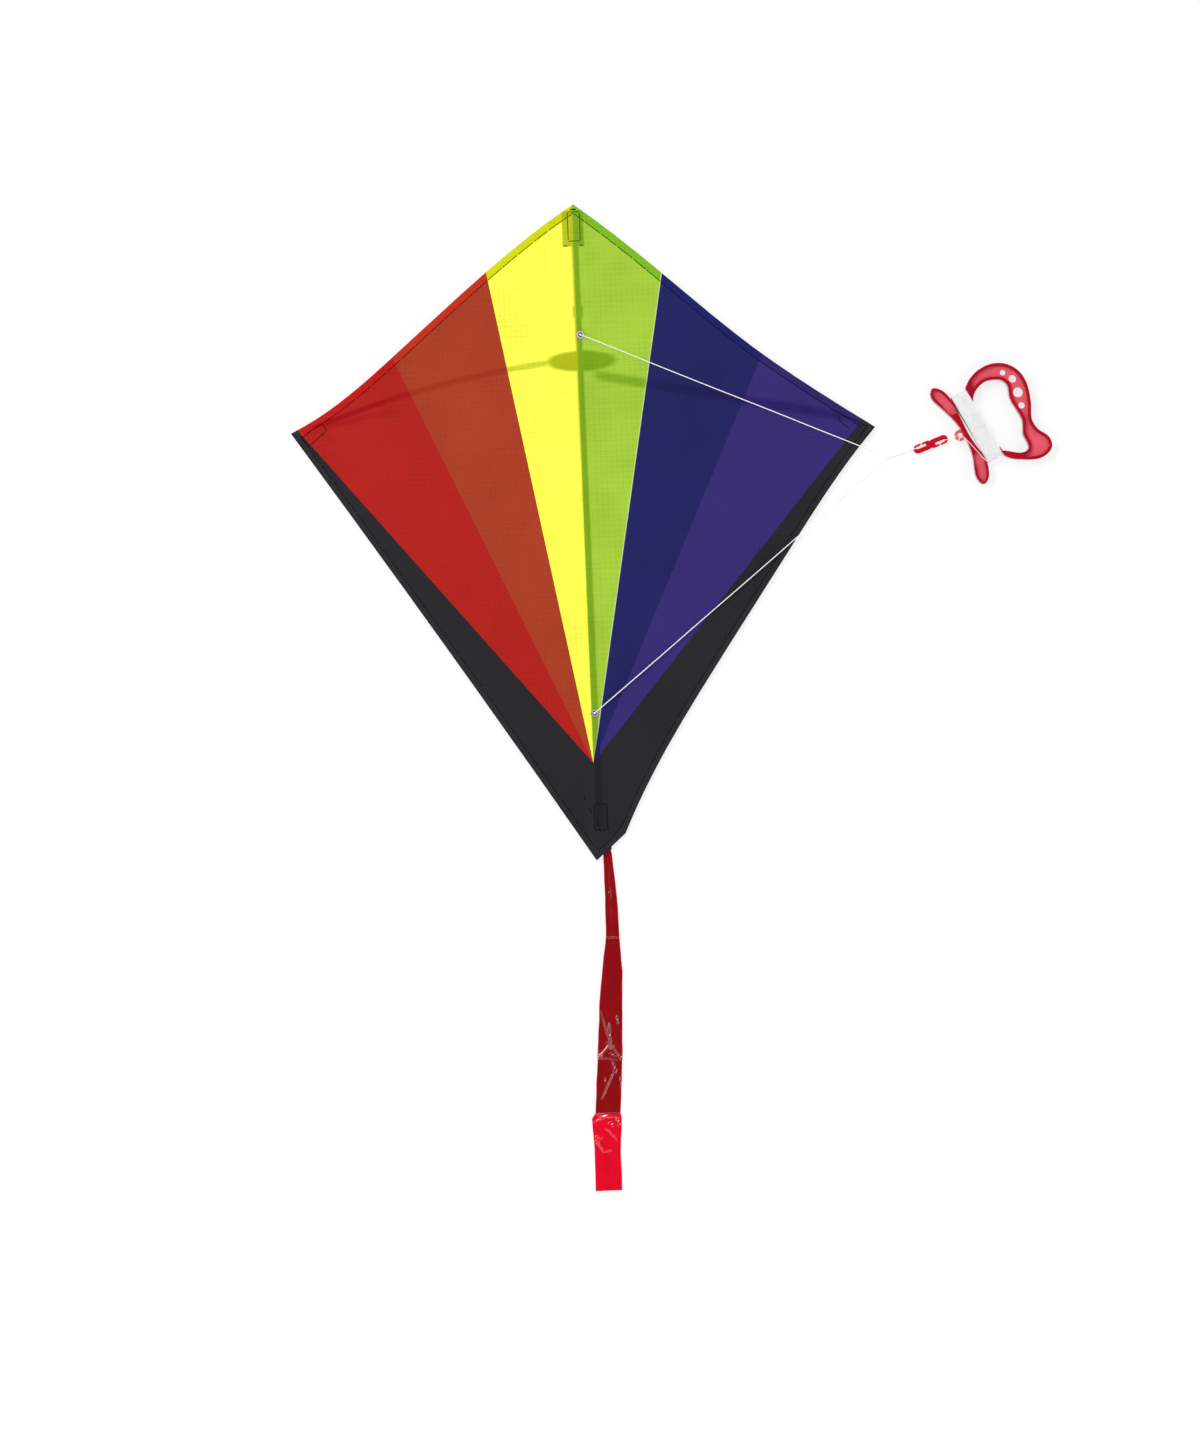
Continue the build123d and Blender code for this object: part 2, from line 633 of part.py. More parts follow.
neck_left = (-ribbon_neck, ribbon_neck)
neck_right = (ribbon_neck, ribbon_neck)
tail_plane = Plane(origin=(*tail_pivot, 0))
short_under = ribbon_thickness + ribbon_gap
for label, under, first in (("tail_long_ribbon", 0.0, 0), ("tail_short_ribbon", short_under, short_start)):
    with BuildPart() as ribbon:
        with BuildSketch(tail_plane.offset(under)):
            with BuildLine():
                Polyline(*ribbon_left[first:], neck_left, neck_right, *ribbon_right[first:][::-1], close=True)
            make_face()
            Circle(tail_tie_radius, mode=Mode.SUBTRACT)
        extrude(amount=ribbon_thickness)
    save(ribbon, label)

tie_head_under = tail_tab_z + tail_tab_thickness + body_gap
with BuildPart() as tail_tie:
    with BuildSketch():
        with Locations(tail_pivot):
            Circle(tail_tie_radius)
    extrude(amount=tie_head_under)
    with BuildSketch(Plane.XY.offset(tie_head_under)):
        with Locations(tail_pivot):
            Circle(tail_tie_head)
    extrude(amount=tail_tie_head_height)
save(tail_tie, "tail_tie")
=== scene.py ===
import math

import bpy
import numpy as np
from mathutils import Matrix, Vector, noise


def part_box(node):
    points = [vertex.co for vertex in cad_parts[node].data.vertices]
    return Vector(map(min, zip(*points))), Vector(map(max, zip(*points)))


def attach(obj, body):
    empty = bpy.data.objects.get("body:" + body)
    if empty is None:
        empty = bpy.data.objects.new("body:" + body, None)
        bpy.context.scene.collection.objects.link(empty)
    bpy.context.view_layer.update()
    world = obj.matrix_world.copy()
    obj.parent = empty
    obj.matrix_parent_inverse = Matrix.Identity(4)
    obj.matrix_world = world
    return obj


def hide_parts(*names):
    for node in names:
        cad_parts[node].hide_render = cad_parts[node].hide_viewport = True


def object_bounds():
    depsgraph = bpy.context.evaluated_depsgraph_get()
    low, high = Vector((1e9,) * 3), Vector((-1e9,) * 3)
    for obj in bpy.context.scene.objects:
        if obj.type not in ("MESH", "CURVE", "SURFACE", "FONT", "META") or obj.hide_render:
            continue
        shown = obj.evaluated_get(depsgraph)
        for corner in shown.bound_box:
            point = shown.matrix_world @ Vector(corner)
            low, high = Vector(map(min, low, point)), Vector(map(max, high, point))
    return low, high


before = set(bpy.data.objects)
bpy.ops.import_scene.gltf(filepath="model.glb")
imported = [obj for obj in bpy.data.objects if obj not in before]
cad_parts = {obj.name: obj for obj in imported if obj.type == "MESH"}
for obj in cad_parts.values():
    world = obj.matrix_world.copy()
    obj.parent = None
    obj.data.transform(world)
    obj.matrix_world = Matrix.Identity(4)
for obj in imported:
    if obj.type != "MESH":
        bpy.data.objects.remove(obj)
cad_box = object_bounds()
bpy.ops.object.select_all(action="DESELECT")
mm = 0.001


# ---------------------------------------------------------------- studio
# White room with a dim ceiling, a floor lit from within and two soft diffusers, the key one beyond the
# kite's left tip. The camera hangs over the middle of the layout and looks straight down, 80 mm lens.
view_middle = (5.2 * mm, -366.1 * mm)
camera_height = 3.288
camera = bpy.data.objects.new("camera", bpy.data.cameras.new("camera"))
camera.data.lens = 80
camera.data.sensor_width = 36
camera.location = (*view_middle, camera_height)
camera.rotation_euler = (0, 0, math.radians(-2.2))
bpy.context.scene.collection.objects.link(camera)
bpy.context.scene.camera = camera
bpy.context.scene.view_settings.view_transform = "Standard"


def linear(code):
    """An sRGB hex colour as linear RGBA."""
    parts = [int(code[i:i + 2], 16) / 255 for i in (1, 3, 5)]
    return (*[c / 12.92 if c <= 0.04045 else ((c + 0.055) / 1.055) ** 2.4 for c in parts], 1)


def feed(node, inputs):
    """Sets a node's inputs: numbers and colours directly, sockets and nodes' first outputs by a link."""
    for key, value in inputs.items():
        if isinstance(value, bpy.types.Node):
            value = value.outputs[0]
        if isinstance(value, bpy.types.NodeSocket):
            node.id_data.links.new(value, node.inputs[key])
        else:
            node.inputs[key].default_value = value


def add(tree, kind, inputs=None, **settings):
    """Adds one shader node with its settings and inputs."""
    node = tree.nodes.new("ShaderNode" + kind)
    for key, value in settings.items():
        setattr(node, key, value)
    feed(node, inputs or {})
    return node


wall_light = 0.9
ceiling_light = 0.05
world = bpy.data.worlds.new("white room with a dim ceiling")
world.use_nodes = True
tree = world.node_tree
upward = add(tree, "SeparateXYZ", {0: add(tree, "TexCoord").outputs["Generated"]}).outputs[2]
room = add(tree, "MapRange", {"Value": upward, "From Min": 0.80, "From Max": 0.93, "To Min": wall_light,
                              "To Max": ceiling_light})
feed(tree.nodes["Background"], {"Strength": room, "Color": (1.0, 1.0, 1.0, 1)})
bpy.context.scene.world = world


def diffuser(name, place, size, watts):
    """A square area light aimed at the middle of the layout."""
    light = bpy.data.lights.new(name, "AREA")
    light.size = size
    light.energy = watts
    lamp = bpy.data.objects.new(name, light)
    lamp.location = place
    lamp.rotation_euler = (Vector((*view_middle, 0)) - Vector(place)).to_track_quat("-Z", "Y").to_euler()
    bpy.context.scene.collection.objects.link(lamp)


diffuser("key diffuser", (-1.5, 0.9, 2.4), 1.2, 38)
diffuser("fill diffuser", (1.9, -1.6, 2.2), 1.6, 12)


def new_material(name, **sockets):
    """A material with one Principled shader, whose uniform numbers are given by socket name."""
    material = bpy.data.materials.new(name)
    material.use_nodes = True
    tree = material.node_tree
    shader = tree.nodes["Principled BSDF"]
    for key, value in sockets.items():
        shader.inputs[key.replace("_", " ")].default_value = value
    return material, tree, shader


def paint(piece, material):
    """Puts one material on all of a piece or CAD node."""
    piece.data.materials.clear()
    piece.data.materials.append(material)


floor_gap = 0.05 * mm          # keeps the floor just under the lowest CAD face
bpy.ops.mesh.primitive_plane_add(size=14, location=(*view_middle, cad_box[0][2] - floor_gap))
floor = bpy.context.object
floor.name = "floor"
floor_paint, tree, shader = new_material("back-lit white acrylic", Roughness=0.75, Specular_IOR_Level=0.2,
                                         Emission_Color=(1.0, 1.0, 1.0, 1), Emission_Strength=0.74)
grain = add(tree, "TexNoise", {"Vector": add(tree, "TexCoord").outputs["Object"], "Scale": 60.0,
                               "Detail": 3.0})
shade = add(tree, "MapRange", {"Value": grain, "To Min": 0.25, "To Max": 0.27})
tint = add(tree, "CombineColor", {0: shade, 1: shade, 2: shade})
feed(shader, {"Base Color": tint})
paint(floor, floor_paint)
bpy.ops.object.select_all(action="DESELECT")


# ---------------------------------------------------------------- bridle and line cords
# White braided polyester cord, 1.0 mm for the bridle and 0.6 mm for the flying line. Each one is limp,
# lies where it was dropped, and ends in a knot. The routes are those of the part, in millimetres.
bridle_cord = 1.0 * mm
flying_line = 0.6 * mm
plait_pitch = 2.4 * mm         # one turn of a braid strand round the 1 mm cord
braid_strands = 4


def twine_material(name, length, diameter):
    """Bleached braid: soft and matt, with crossing strands that show as fine oblique grooves, painted a
    little grey as shade.
    """
    material, tree, shader = new_material(name, Roughness=0.7, Specular_IOR_Level=0.25, Sheen_Weight=0.2)
    strand = add(tree, "SeparateXYZ", {0: add(tree, "TexCoord").outputs["UV"]})
    turns = length / (plait_pitch * diameter / bridle_cord)
    along = add(tree, "Math", {0: strand, 1: turns * braid_strands}, operation="MULTIPLY")
    round_it = add(tree, "Math", {0: strand.outputs[1], 1: float(braid_strands)}, operation="MULTIPLY")
    one_way = add(tree, "Math", {0: along, 1: round_it}, operation="ADD")
    other_way = add(tree, "Math", {0: along, 1: round_it}, operation="SUBTRACT")
    first = add(tree, "Math", {0: one_way, 1: 0.5}, operation="PINGPONG")
    second = add(tree, "Math", {0: other_way, 1: 0.5}, operation="PINGPONG")
    groove = add(tree, "Math", {0: first, 1: second}, operation="MINIMUM")
    # Painted shade: the grooves between the strands are coloured a little grey.
    ramp = add(tree, "ValToRGB", {"Fac": groove})
    ramp.color_ramp.elements[0].color = linear("#E9E7E6")
    ramp.color_ramp.elements[1].color = linear("#FFFFFF")
    ramp.color_ramp.elements[1].position = 0.15
    bump = add(tree, "Bump", {"Strength": 0.4, "Distance": 0.08 * diameter, "Height": groove})
    feed(shader, {"Base Color": ramp, "Normal": bump})
    return material


def lay_cord(name, route, diameter, length, sides=4, smooth=10, closed=False):
    """A round cord on one smooth line, open or closed, whose control points are the route, in metres."""
    curve = bpy.data.curves.new(name, "CURVE")
    curve.dimensions = "3D"
    curve.bevel_depth = diameter / 2
    curve.bevel_resolution = sides
    curve.resolution_u = smooth
    curve.use_fill_caps = not closed
    spline = curve.splines.new("NURBS")
    spline.points.add(len(route) - 1)
    for point, place in zip(spline.points, route):
        point.co = (*place, 1)
    spline.order_u = 3
    spline.use_endpoint_u = not closed
    spline.use_cyclic_u = closed
    piece = bpy.data.objects.new(name, curve)
    bpy.context.scene.collection.objects.link(piece)
    paint(piece, twine_material(f"{name.replace('_', ' ')}: braided polyester", length, diameter))
    return piece


def as_mesh(cord):
    """Turns a laid cord into a mesh piece."""
    bpy.context.view_layer.objects.active = cord
    cord.select_set(True)
    bpy.ops.object.convert(target="MESH")
    bpy.ops.object.select_all(action="DESELECT")
    return bpy.context.object


cord_routes = {
    "upper_bridle_leg": [
        (1.3, 26.3, 14.1), (38.0, 10.2, 12.5), (76.0, -6.8, 11.6), (134.0, -32.5, 10.6),
        (196.0, -59.4, 9.3), (250.0, -83.6, 8.3), (282.0, -97.4, 7.4), (299.0, -105.2, 4.3),
        (311.0, -110.5, 2.4),
    ],
    "lower_bridle_leg": [
        (1.1, -361.9, 9.8), (34.0, -335.6, 8.8), (72.0, -305.2, 8.5), (118.0, -268.0, 8.25),
        (168.0, -228.0, 7.9), (211.0, -193.2, 7.6), (231.0, -177.2, 5.6), (252.0, -160.0, 1.9),
        (274.0, -142.6, 0.75), (296.0, -124.6, 1.0), (311.2, -112.4, 1.7),
    ],
    "tow_loop": [
        (314.1, -110.6, 2.3), (322.0, -107.7, 3.0), (330.6, -105.4, 4.0), (337.2, -103.7, 5.45),
        (343.4, -102.2, 5.45), (343.4, -102.2, 0.55), (337.4, -104.6, 0.55), (329.6, -107.4, 0.6),
        (321.5, -109.8, 0.9), (314.3, -111.2, 1.8),
    ],
    "clip_leader": [
        (386.9, -91.3, 7.95), (381.2, -92.4, 8.0), (376.0, -93.9, 5.3), (370.5, -95.7, 5.1),
        (370.5, -95.7, 0.9), (375.8, -94.6, 0.85), (381.2, -93.1, 1.6), (387.5, -91.5, 2.1),
        (387.9, -91.2, 6.6),
    ],
    "line_lead": [
        (388.9, -92.2, 8.0), (391.6, -94.6, 9.5), (395.6, -98.6, 10.8), (400.6, -104.4, 10.75),
        (406.0, -111.2, 10.8), (411.4, -117.6, 10.7), (415.0, -120.4, 10.1),
    ],
}
cord_facts = {  # diameter, length, body, finish slot, far end
    "upper_bridle_leg": (bridle_cord, 0.339, "bridle", "white_cord", "knot"),
    "lower_bridle_leg": (bridle_cord, 0.398, "bridle", "white_cord", "knot"),
    "tow_loop": (bridle_cord, 0.064, "bridle", "white_cord", "knot"),
    "clip_leader": (flying_line, 0.0415, "clip", "white_line", "knot"),
    "line_lead": (flying_line, 0.039, "winder", "white_line", "object"),
}
for name, route in cord_routes.items():
    diameter, length, body, slot, far_end = cord_facts[name]
    route = [Vector(point) * mm for point in route]
    cord = lay_cord(f"{name}_cord", route, diameter, length)
    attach(cord, body)
    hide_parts(name)


# ---------------------------------------------------------------- line wound on the handle
# The rest of the flying line, wound tight round both arms of the handle in four layers of slightly
# tilted turns. Its outer end runs up the left edge and crosses the turns in the middle before the first.
handle_origin = Vector((391.0, -85.9, 0)) * mm
handle_turn = Matrix.Rotation(math.radians(27.8), 3, "Z")
wound_x = (5.7, 22.3)
wound_y = (-40.0, 33.5)
wound_z = (2.9, 7.1)
layers = 4
turns_per_layer = 27
tilt = 1.0                     # how far one end of a turn lies ahead of the other
middle_y = sum(wound_y) / 2
half_y = (wound_y[1] - wound_y[0]) / 2
line_mm = flying_line / mm
bow = 0.15                     # how far a turn swells out beside the arms

winding_route = [
    (5.1, -41.9, 10.05), (5.0, -28.0, 9.95), (5.1, -14.0, 9.95), (5.8, -5.6, 10.0), (9.5, -4.3, 10.0),
    (14.0, -5.2, 10.0), (18.6, -6.2, 10.0), (21.8, -5.6, 9.95), (22.6, 4.0, 9.9), (22.5, 18.0, 9.9),
    (22.3, 34.8, 9.3), (22.2, 36.4, 7.0), (22.2, 36.4, 3.0), (22.2, 34.8, 0.6),
]
for layer in range(layers):
    depth = line_mm * (layers - layer - 0.5)
    top = wound_z[1] + depth
    under = wound_z[0] - depth
    far = wound_y[1] + depth
    near = wound_y[0] - depth
    flats = (far - depth - 1, 16, -3, -22, near + depth + 1)
    ring = [(y, under) for y in flats]
    ring += [(near, under + depth / 2), (near - bow, (top + under) / 2), (near, top - depth / 2)]
    ring += [(y, top) for y in reversed(flats)]
    ring += [(far, top - depth / 2), (far + bow, (top + under) / 2), (far, under + depth / 2)]
    for turn in range(turns_per_layer):
        for step, (y, z) in enumerate(ring):
            share = (turn + step / len(ring)) / turns_per_layer
            if layer % 2 == 0:
                share = 1 - share
            lean = tilt / 2 * (y - middle_y) / half_y * (-1) ** layer
            wander = 0.05 * math.sin(2.3 * turn + 0.9 * layer)
            winding_route.append((wound_x[0] + (wound_x[1] - wound_x[0]) * share + lean + wander, y, z))
winding_route = [handle_origin + handle_turn @ Vector(point) * mm for point in winding_route]
wound_length = 17.5
winding = lay_cord("line_winding_cord", winding_route, flying_line, wound_length, sides=1, smooth=2)
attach(winding, "winder")
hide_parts("line_winding")


# ---------------------------------------------------------------- knots
# Every cord ends in a small pulled-down knot: one where each leg starts, the bulky one that joins both
# legs to the tow loop, and the one that ties the leader to the handle's eye.
knot_points = 24
knot_cord = 20 * mm            # length of cord in a knot, for the size of the plait
lobe_reach = 2.6               # how far the overhand curve swings out, in its own units


def tie_knot(name, node, diameter, body, turn, loops=1.0):
    """A three-lobed overhand knot that fills the node's box, laid as one closed strand."""
    low, high = (Vector(corner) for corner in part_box(node))
    centre = (low + high) / 2
    reach = (high.x - low.x) / 2 - diameter / 2
    spin = Matrix.Rotation(turn, 3, "Z") @ Matrix.Rotation(0.5, 3, "X")
    route = []
    for index in range(knot_points):
        t = 2 * math.pi * index / knot_points
        lobe = (math.sin(t) + 2 * math.sin(2 * t), math.cos(t) - 2 * math.cos(2 * t), -2.2 * math.sin(3 * t))
        route.append(centre + spin @ Vector(lobe) * reach * loops / lobe_reach)
    piece = as_mesh(lay_cord(name, route, diameter, knot_cord, smooth=6, closed=True))
    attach(piece, body)
    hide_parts(node)


tie_knot("upper_knot", "upper_leg_knot", 0.9 * mm, "bridle", 0.4, 0.75)
tie_knot("lower_knot", "lower_leg_knot", 0.9 * mm, "bridle", 1.1, 0.75)
tie_knot("legs_knot", "tow_knot", 1.1 * mm, "bridle", 0.2)
tie_knot("eye_knot", "leader_knot", 0.7 * mm, "clip", 0.7)


# ---------------------------------------------------------------- frame of the kite
# Pultruded glass rods, dark and slightly streaked along their length, with soft vinyl caps on their ends.
# The spar halves meet in a drawn aluminium ferrule inside a moulded fitting that snaps on the spine.
def streaked(name, code, streaks, roughness, **sockets):
    """A finish whose colour and gloss vary a little in streaks; streaks is the pattern's scale."""
    material, tree, shader = new_material(name, **sockets)
    place = add(tree, "Mapping", {"Vector": add(tree, "TexCoord").outputs["Object"], "Scale": streaks})
    grain = add(tree, "TexNoise", {"Vector": place, "Scale": 1.0, "Detail": 4.0})
    ramp = add(tree, "ValToRGB", {"Fac": grain})
    base = linear(code)
    ramp.color_ramp.elements[0].color = (*[0.75 * c for c in base[:3]], 1)
    ramp.color_ramp.elements[1].color = (*[min(1.0, 1.3 * c) for c in base[:3]], 1)
    gloss = add(tree, "MapRange", {"Value": grain, "To Min": roughness - 0.06, "To Max": roughness + 0.08})
    bump = add(tree, "Bump", {"Strength": 0.25, "Distance": 0.05 * mm, "Height": grain})
    feed(shader, {"Base Color": ramp, "Roughness": gloss, "Normal": bump})
    return material


across_grain = 1500
along_grain = 30
spine_streaks = (across_grain, along_grain, across_grain)
spar_streaks = (along_grain, across_grain, across_grain)
spine_glass = streaked("pultruded glass rod, spine", "#26262A", spine_streaks, 0.35)
spar_glass = streaked("pultruded glass rod, spar", "#26262A", spar_streaks, 0.35)
vinyl = streaked("dipped black vinyl", "#1C1C1F", (500, 500, 500), 0.55)
fitting_plastic = streaked("moulded black polypropylene", "#202124", (900, 900, 900), 0.45)
ferrule_metal = streaked("drawn aluminium tube", "#C4C6CA", (60, 2500, 2500), 0.3, Metallic=1.0)
frame_finishes = {
    "spine_rod": spine_glass, "left_spar": spar_glass, "right_spar": spar_glass,
    "spine_nose_cap": vinyl, "spine_tail_cap": vinyl, "left_spar_cap": vinyl, "right_spar_cap": vinyl,
    "spar_ferrule": ferrule_metal, "centre_fitting": fitting_plastic, "tail_tie": vinyl,
}
for node, material in frame_finishes.items():
    paint(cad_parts[node], material)


# ---------------------------------------------------------------- sail
# One piece of printed nylon ripstop, heat-cut, with its edges folded back and sewn. It is stretched over
# the spine and spar like a shallow tent; small creases run from the tips, where the spar pulls at it.
sail_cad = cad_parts["sail"]
corners = np.array([v.co[:] for v in sail_cad.data.vertices]) / mm
nose = corners[np.argmax(corners[:, 1])][:2]
tail = corners[np.argmin(corners[:, 1])][:2]
left_tip = corners[np.argmin(corners[:, 0])][:2]
right_tip = corners[np.argmax(corners[:, 0])][:2]
spine_clear = 3.6


def cloth_edge(side):
    """The points of one side's edge from tail to nose, in millimetres, from the CAD sail."""
    found = {(round(x, 3), round(y, 3)) for x, y, z in corners if side * x > spine_clear}
    return np.array([tail] + sorted(found, key=lambda point: point[1]) + [nose])


left_edge = cloth_edge(-1)
right_edge = cloth_edge(1)
spine_height = 8.45            # the spine's axis over the ground where the spar crosses it
spine_to_cloth = 3.1
ridge_height = spine_height + spine_to_cloth
ridge_slope = 0.0108989
left_fall = 0.0151
right_fall = 0.0146
cloth_thickness = 0.3
wide_hem = 8.0                 # towards the nose
narrow_hem = 6.7               # towards the tail
eyelet_places = [(0.0, 26.9), (0.0, -362.8)]
eyelet_cut = 3.0

edge_runs = [
    (left_edge[left_edge[:, 1] >= left_tip[1] - 0.01], wide_hem),
    (left_edge[left_edge[:, 1] <= left_tip[1] + 0.01], narrow_hem),
    (right_edge[right_edge[:, 1] >= right_tip[1] - 0.01], wide_hem),
    (right_edge[right_edge[:, 1] <= right_tip[1] + 0.01], narrow_hem),
]


def hem_share(x, y):
    """Distance to the nearest edge, as a share of that edge's hem width."""
    best = np.full(np.shape(x), 99.0)
    for run, width in edge_runs:
        for (ax, ay), (bx, by) in zip(run, run[1:]):
            length = math.hypot(bx - ax, by - ay)
            if length < 0.01:
                continue
            along = np.clip(((x - ax) * (bx - ax) + (y - ay) * (by - ay)) / length ** 2, 0, 1)
            away = np.hypot(x - ax - along * (bx - ax), y - ay - along * (by - ay))
            best = np.minimum(best, away / width)
    return best


def to_line(x, y, start, end):
    """Distance from a point to the line between two places, and where along it that is, as a share."""
    (ax, ay), (bx, by) = start, end
    along = ((x - ax) * (bx - ax) + (y - ay) * (by - ay)) / ((bx - ax) ** 2 + (by - ay) ** 2)
    along = min(1, max(0, along))
    return math.hypot(x - ax - along * (bx - ax), y - ay - along * (by - ay)), along


held_up = [  # the cloth cannot sink over the spine and over the spar's capped ends
    ((0.0, nose[1]), (0.0, tail[1])), ((-290.0, -62.0), (-268.0, -57.0)), ((288.0, -75.0), (265.0, -69.0)),
]
gathers = [  # corner, number of folds in the fan, how far they reach, how deep they are
    (left_tip, 17, 85, 0.8), (right_tip, 17, 85, 0.8), (nose, 13, 45, 0.4),
]


def sag(x, y):
    """How far the cloth lies under its flat tent, in millimetres: tip and nose creases, folds and slack."""
    depth = 0.45 * (1 + noise.noise(Vector((x / 75, y / 95, 1.7))))
    towards_tail = min(1, max(0, (-150 - y) / 150))
    depth += 0.8 * (1 + noise.noise(Vector(((x + 0.3 * y) / 26, y / 110, 5.1)))) * towards_tail
    for (tip_x, tip_y), folds, spread, strength in gathers:
        reach = math.hypot(x - tip_x, y - tip_y)
        bearing = math.atan2(y - tip_y, x - tip_x)
        ripple = 1 + math.sin(folds * bearing + 2.5 * noise.noise(Vector((x / 60, y / 60, folds))))
        depth += strength * ripple * min(1, reach / 25) * math.exp(-reach / spread)
    depth += 0.5 * (1 - math.exp(-max(0, abs(x) - 2) / 5))
    nearest = min(to_line(x, y, *line)[0] for line in held_up)
    depth *= min(1, 0.12 + max(0, nearest - 2.6) / 12)
    for eyelet_x, eyelet_y in eyelet_places:
        depth *= min(1, max(0, (math.hypot(x - eyelet_x, y - eyelet_y) - 4.5) / 8))
    return depth


def cloth_top(x, y):
    """Height of the cloth's printed face, in millimetres."""
    fall = left_fall * -x if x < 0 else right_fall * x
    return ridge_height + ridge_slope * y - fall - sag(x, y)


def sheet_faces(count_u, count_v):
    """The faces of a grid of count_u by count_v cells, row by row."""
    return [(corner, corner + 1, corner + count_u + 2, corner + count_u + 1)
            for row in range(count_v) for corner in range(row * (count_u + 1), row * (count_u + 1) + count_u)]


def made_piece(name, vertices, faces, wall=None, hem_shares=None, crease=None):
    """A smooth mesh piece: an open sheet given a wall, or a closed shape with its faces turned outward."""
    mesh = bpy.data.meshes.new(name)
    mesh.from_pydata(vertices, [], faces)
    if hem_shares is not None:
        share = mesh.attributes.new("hem_share", "FLOAT", "POINT")
        share.data.foreach_set("value", hem_shares.astype(np.float32))
    piece = bpy.data.objects.new(name, mesh)
    bpy.context.scene.collection.objects.link(piece)
    bpy.context.view_layer.objects.active = piece
    piece.select_set(True)
    if wall:
        modifier = piece.modifiers.new("thickness", "SOLIDIFY")
        modifier.thickness = wall * mm
        bpy.ops.object.modifier_apply(modifier=modifier.name)
    else:
        bpy.ops.object.mode_set(mode="EDIT")
        bpy.ops.mesh.select_all(action="SELECT")
        bpy.ops.mesh.normals_make_consistent(inside=False)
        bpy.ops.object.mode_set(mode="OBJECT")
    if crease:
        bpy.ops.object.shade_smooth_by_angle(angle=math.radians(crease))
    else:
        bpy.ops.object.shade_smooth()
    bpy.ops.object.select_all(action="DESELECT")
    return piece


rows = np.linspace(tail[1], nose[1], 232)
for landmark in (left_tip[1], right_tip[1]):
    rows[np.argmin(np.abs(rows - landmark))] = landmark
half_columns = 80
overlap = 0.02                 # the cloth ends just outside the CAD edge
vertices = []
for y in rows:
    left = np.interp(y, left_edge[:, 1], left_edge[:, 0]) - overlap
    right = np.interp(y, right_edge[:, 1], right_edge[:, 0]) + overlap
    ridge = min(max(0.0, left + 0.3 * (right - left)), right - 0.3 * (right - left))
    across = [*np.linspace(left, ridge, half_columns + 1), *np.linspace(ridge, right, half_columns + 1)[1:]]
    vertices += [(x, y) for x in across]
flat = np.array(vertices)
for eyelet_x, eyelet_y in eyelet_places:
    off = flat - (eyelet_x, eyelet_y)
    away = np.hypot(off[:, 0], off[:, 1])
    ring = (away > 0.05) & (away < eyelet_cut + 3.2)
    grown = np.maximum(away[ring], eyelet_cut + away[ring] * 0.45)[:, None]
    flat[ring] = np.array((eyelet_x, eyelet_y)) + off[ring] / away[ring, None] * grown
faces = []
for quad in sheet_faces(2 * half_columns, len(rows) - 1):
    middle = flat[list(quad)].mean(axis=0)
    if min(math.hypot(*(middle - place)) for place in eyelet_places) > eyelet_cut:
        faces.append(quad)
sail = made_piece("sail_cloth", [(x * mm, y * mm, cloth_top(x, y) * mm) for x, y in flat], faces,
                  wall=cloth_thickness, hem_shares=hem_share(flat[:, 0], flat[:, 1]))

# Printed nylon ripstop: matt, with a grid of thicker threads every 5.5 mm, and colours that
# fan out from one point near the tail. What lies behind it is painted on it as soft bands of shadow.
fan_centre = (-3.5, -414.2)
fan_span = 100.0               # degrees that the colour ramp covers
ripstop_square = 5.5
weave_pitch = 0.8              # drawn three times coarser than the real yarn, so that it shows
panels = [  # end of the panel in degrees right of straight up; cloth, hem, and the cloth's painted shadow colour
    (-39.6, "#252427", "#29282C", "#1D1B1E"), (-24.5, "#AE1D17", "#BE120F", "#9C000A"),
    (-10.24, "#A63B21", "#C02E14", "#96280F"), (-0.14, "#FBFF4F", "#CFD600", "#A8B000"),
    (10.11, "#A4CA3C", "#7CB81E", "#74A010"), (24.4, "#212160", "#1C1C66", "#1A174F"),
    (39.88, "#362A72", "#2E2566", "#251260"), (50.0, "#252427", "#29282C", "#1D1B1E"),
]


def axes_in_mm(tree):
    """Object coordinates in millimetres, as one vector and as its three axes."""
    place = add(tree, "VectorMath", {0: add(tree, "TexCoord").outputs["Object"], "Scale": 1 / mm},
                operation="SCALE")
    return place, add(tree, "SeparateXYZ", {0: place})


ripstop, tree, shader = new_material("printed nylon ripstop", Roughness=0.6, Specular_IOR_Level=0.1)
place, axis = axes_in_mm(tree)
x, y = axis.outputs[0], axis.outputs[1]
fan_x = add(tree, "Math", {0: x, 1: fan_centre[0]}, operation="SUBTRACT")
fan_y = add(tree, "Math", {0: y, 1: fan_centre[1]}, operation="SUBTRACT")
bearing = add(tree, "Math", {0: fan_x, 1: fan_y}, operation="ARCTAN2")
turn = add(tree, "MapRange", {"Value": bearing, "From Min": -math.radians(fan_span / 2),
                              "From Max": math.radians(fan_span / 2)})
# three ramps: the cloth's print, its hem, and its painted shadow colours
ramps = []
for layer in (1, 2, 3):
    ramp = add(tree, "ValToRGB", {"Fac": turn}).color_ramp
    ramp.interpolation = "CONSTANT"
    ramp.elements[0].color = linear(panels[0][layer])
    start = panels[0][0]
    ramp.elements[1].position = 0.5 + start / fan_span
    ramp.elements[1].color = linear(panels[1][layer])
    for (start, *unused), panel in zip(panels[1:], panels[2:]):
        ramp.elements.new(0.5 + start / fan_span).color = linear(panel[layer])
    ramps.append(tree.nodes[-1].outputs["Color"])
hem = add(tree, "Attribute", attribute_name="hem_share")
in_hem = add(tree, "MapRange", {"Value": hem.outputs["Fac"], "From Min": 1.03, "From Max": 0.98})
colour = add(tree, "Mix", {0: in_hem, 6: ramps[0], 7: ramps[1]}, data_type="RGBA")


def band(distance, near, far):
    """A soft band: 1 where the distance is under near, and 0 past far."""
    return add(tree, "MapRange", {"Value": distance, "From Min": far, "From Max": near},
               interpolation_type="SMOOTHSTEP")


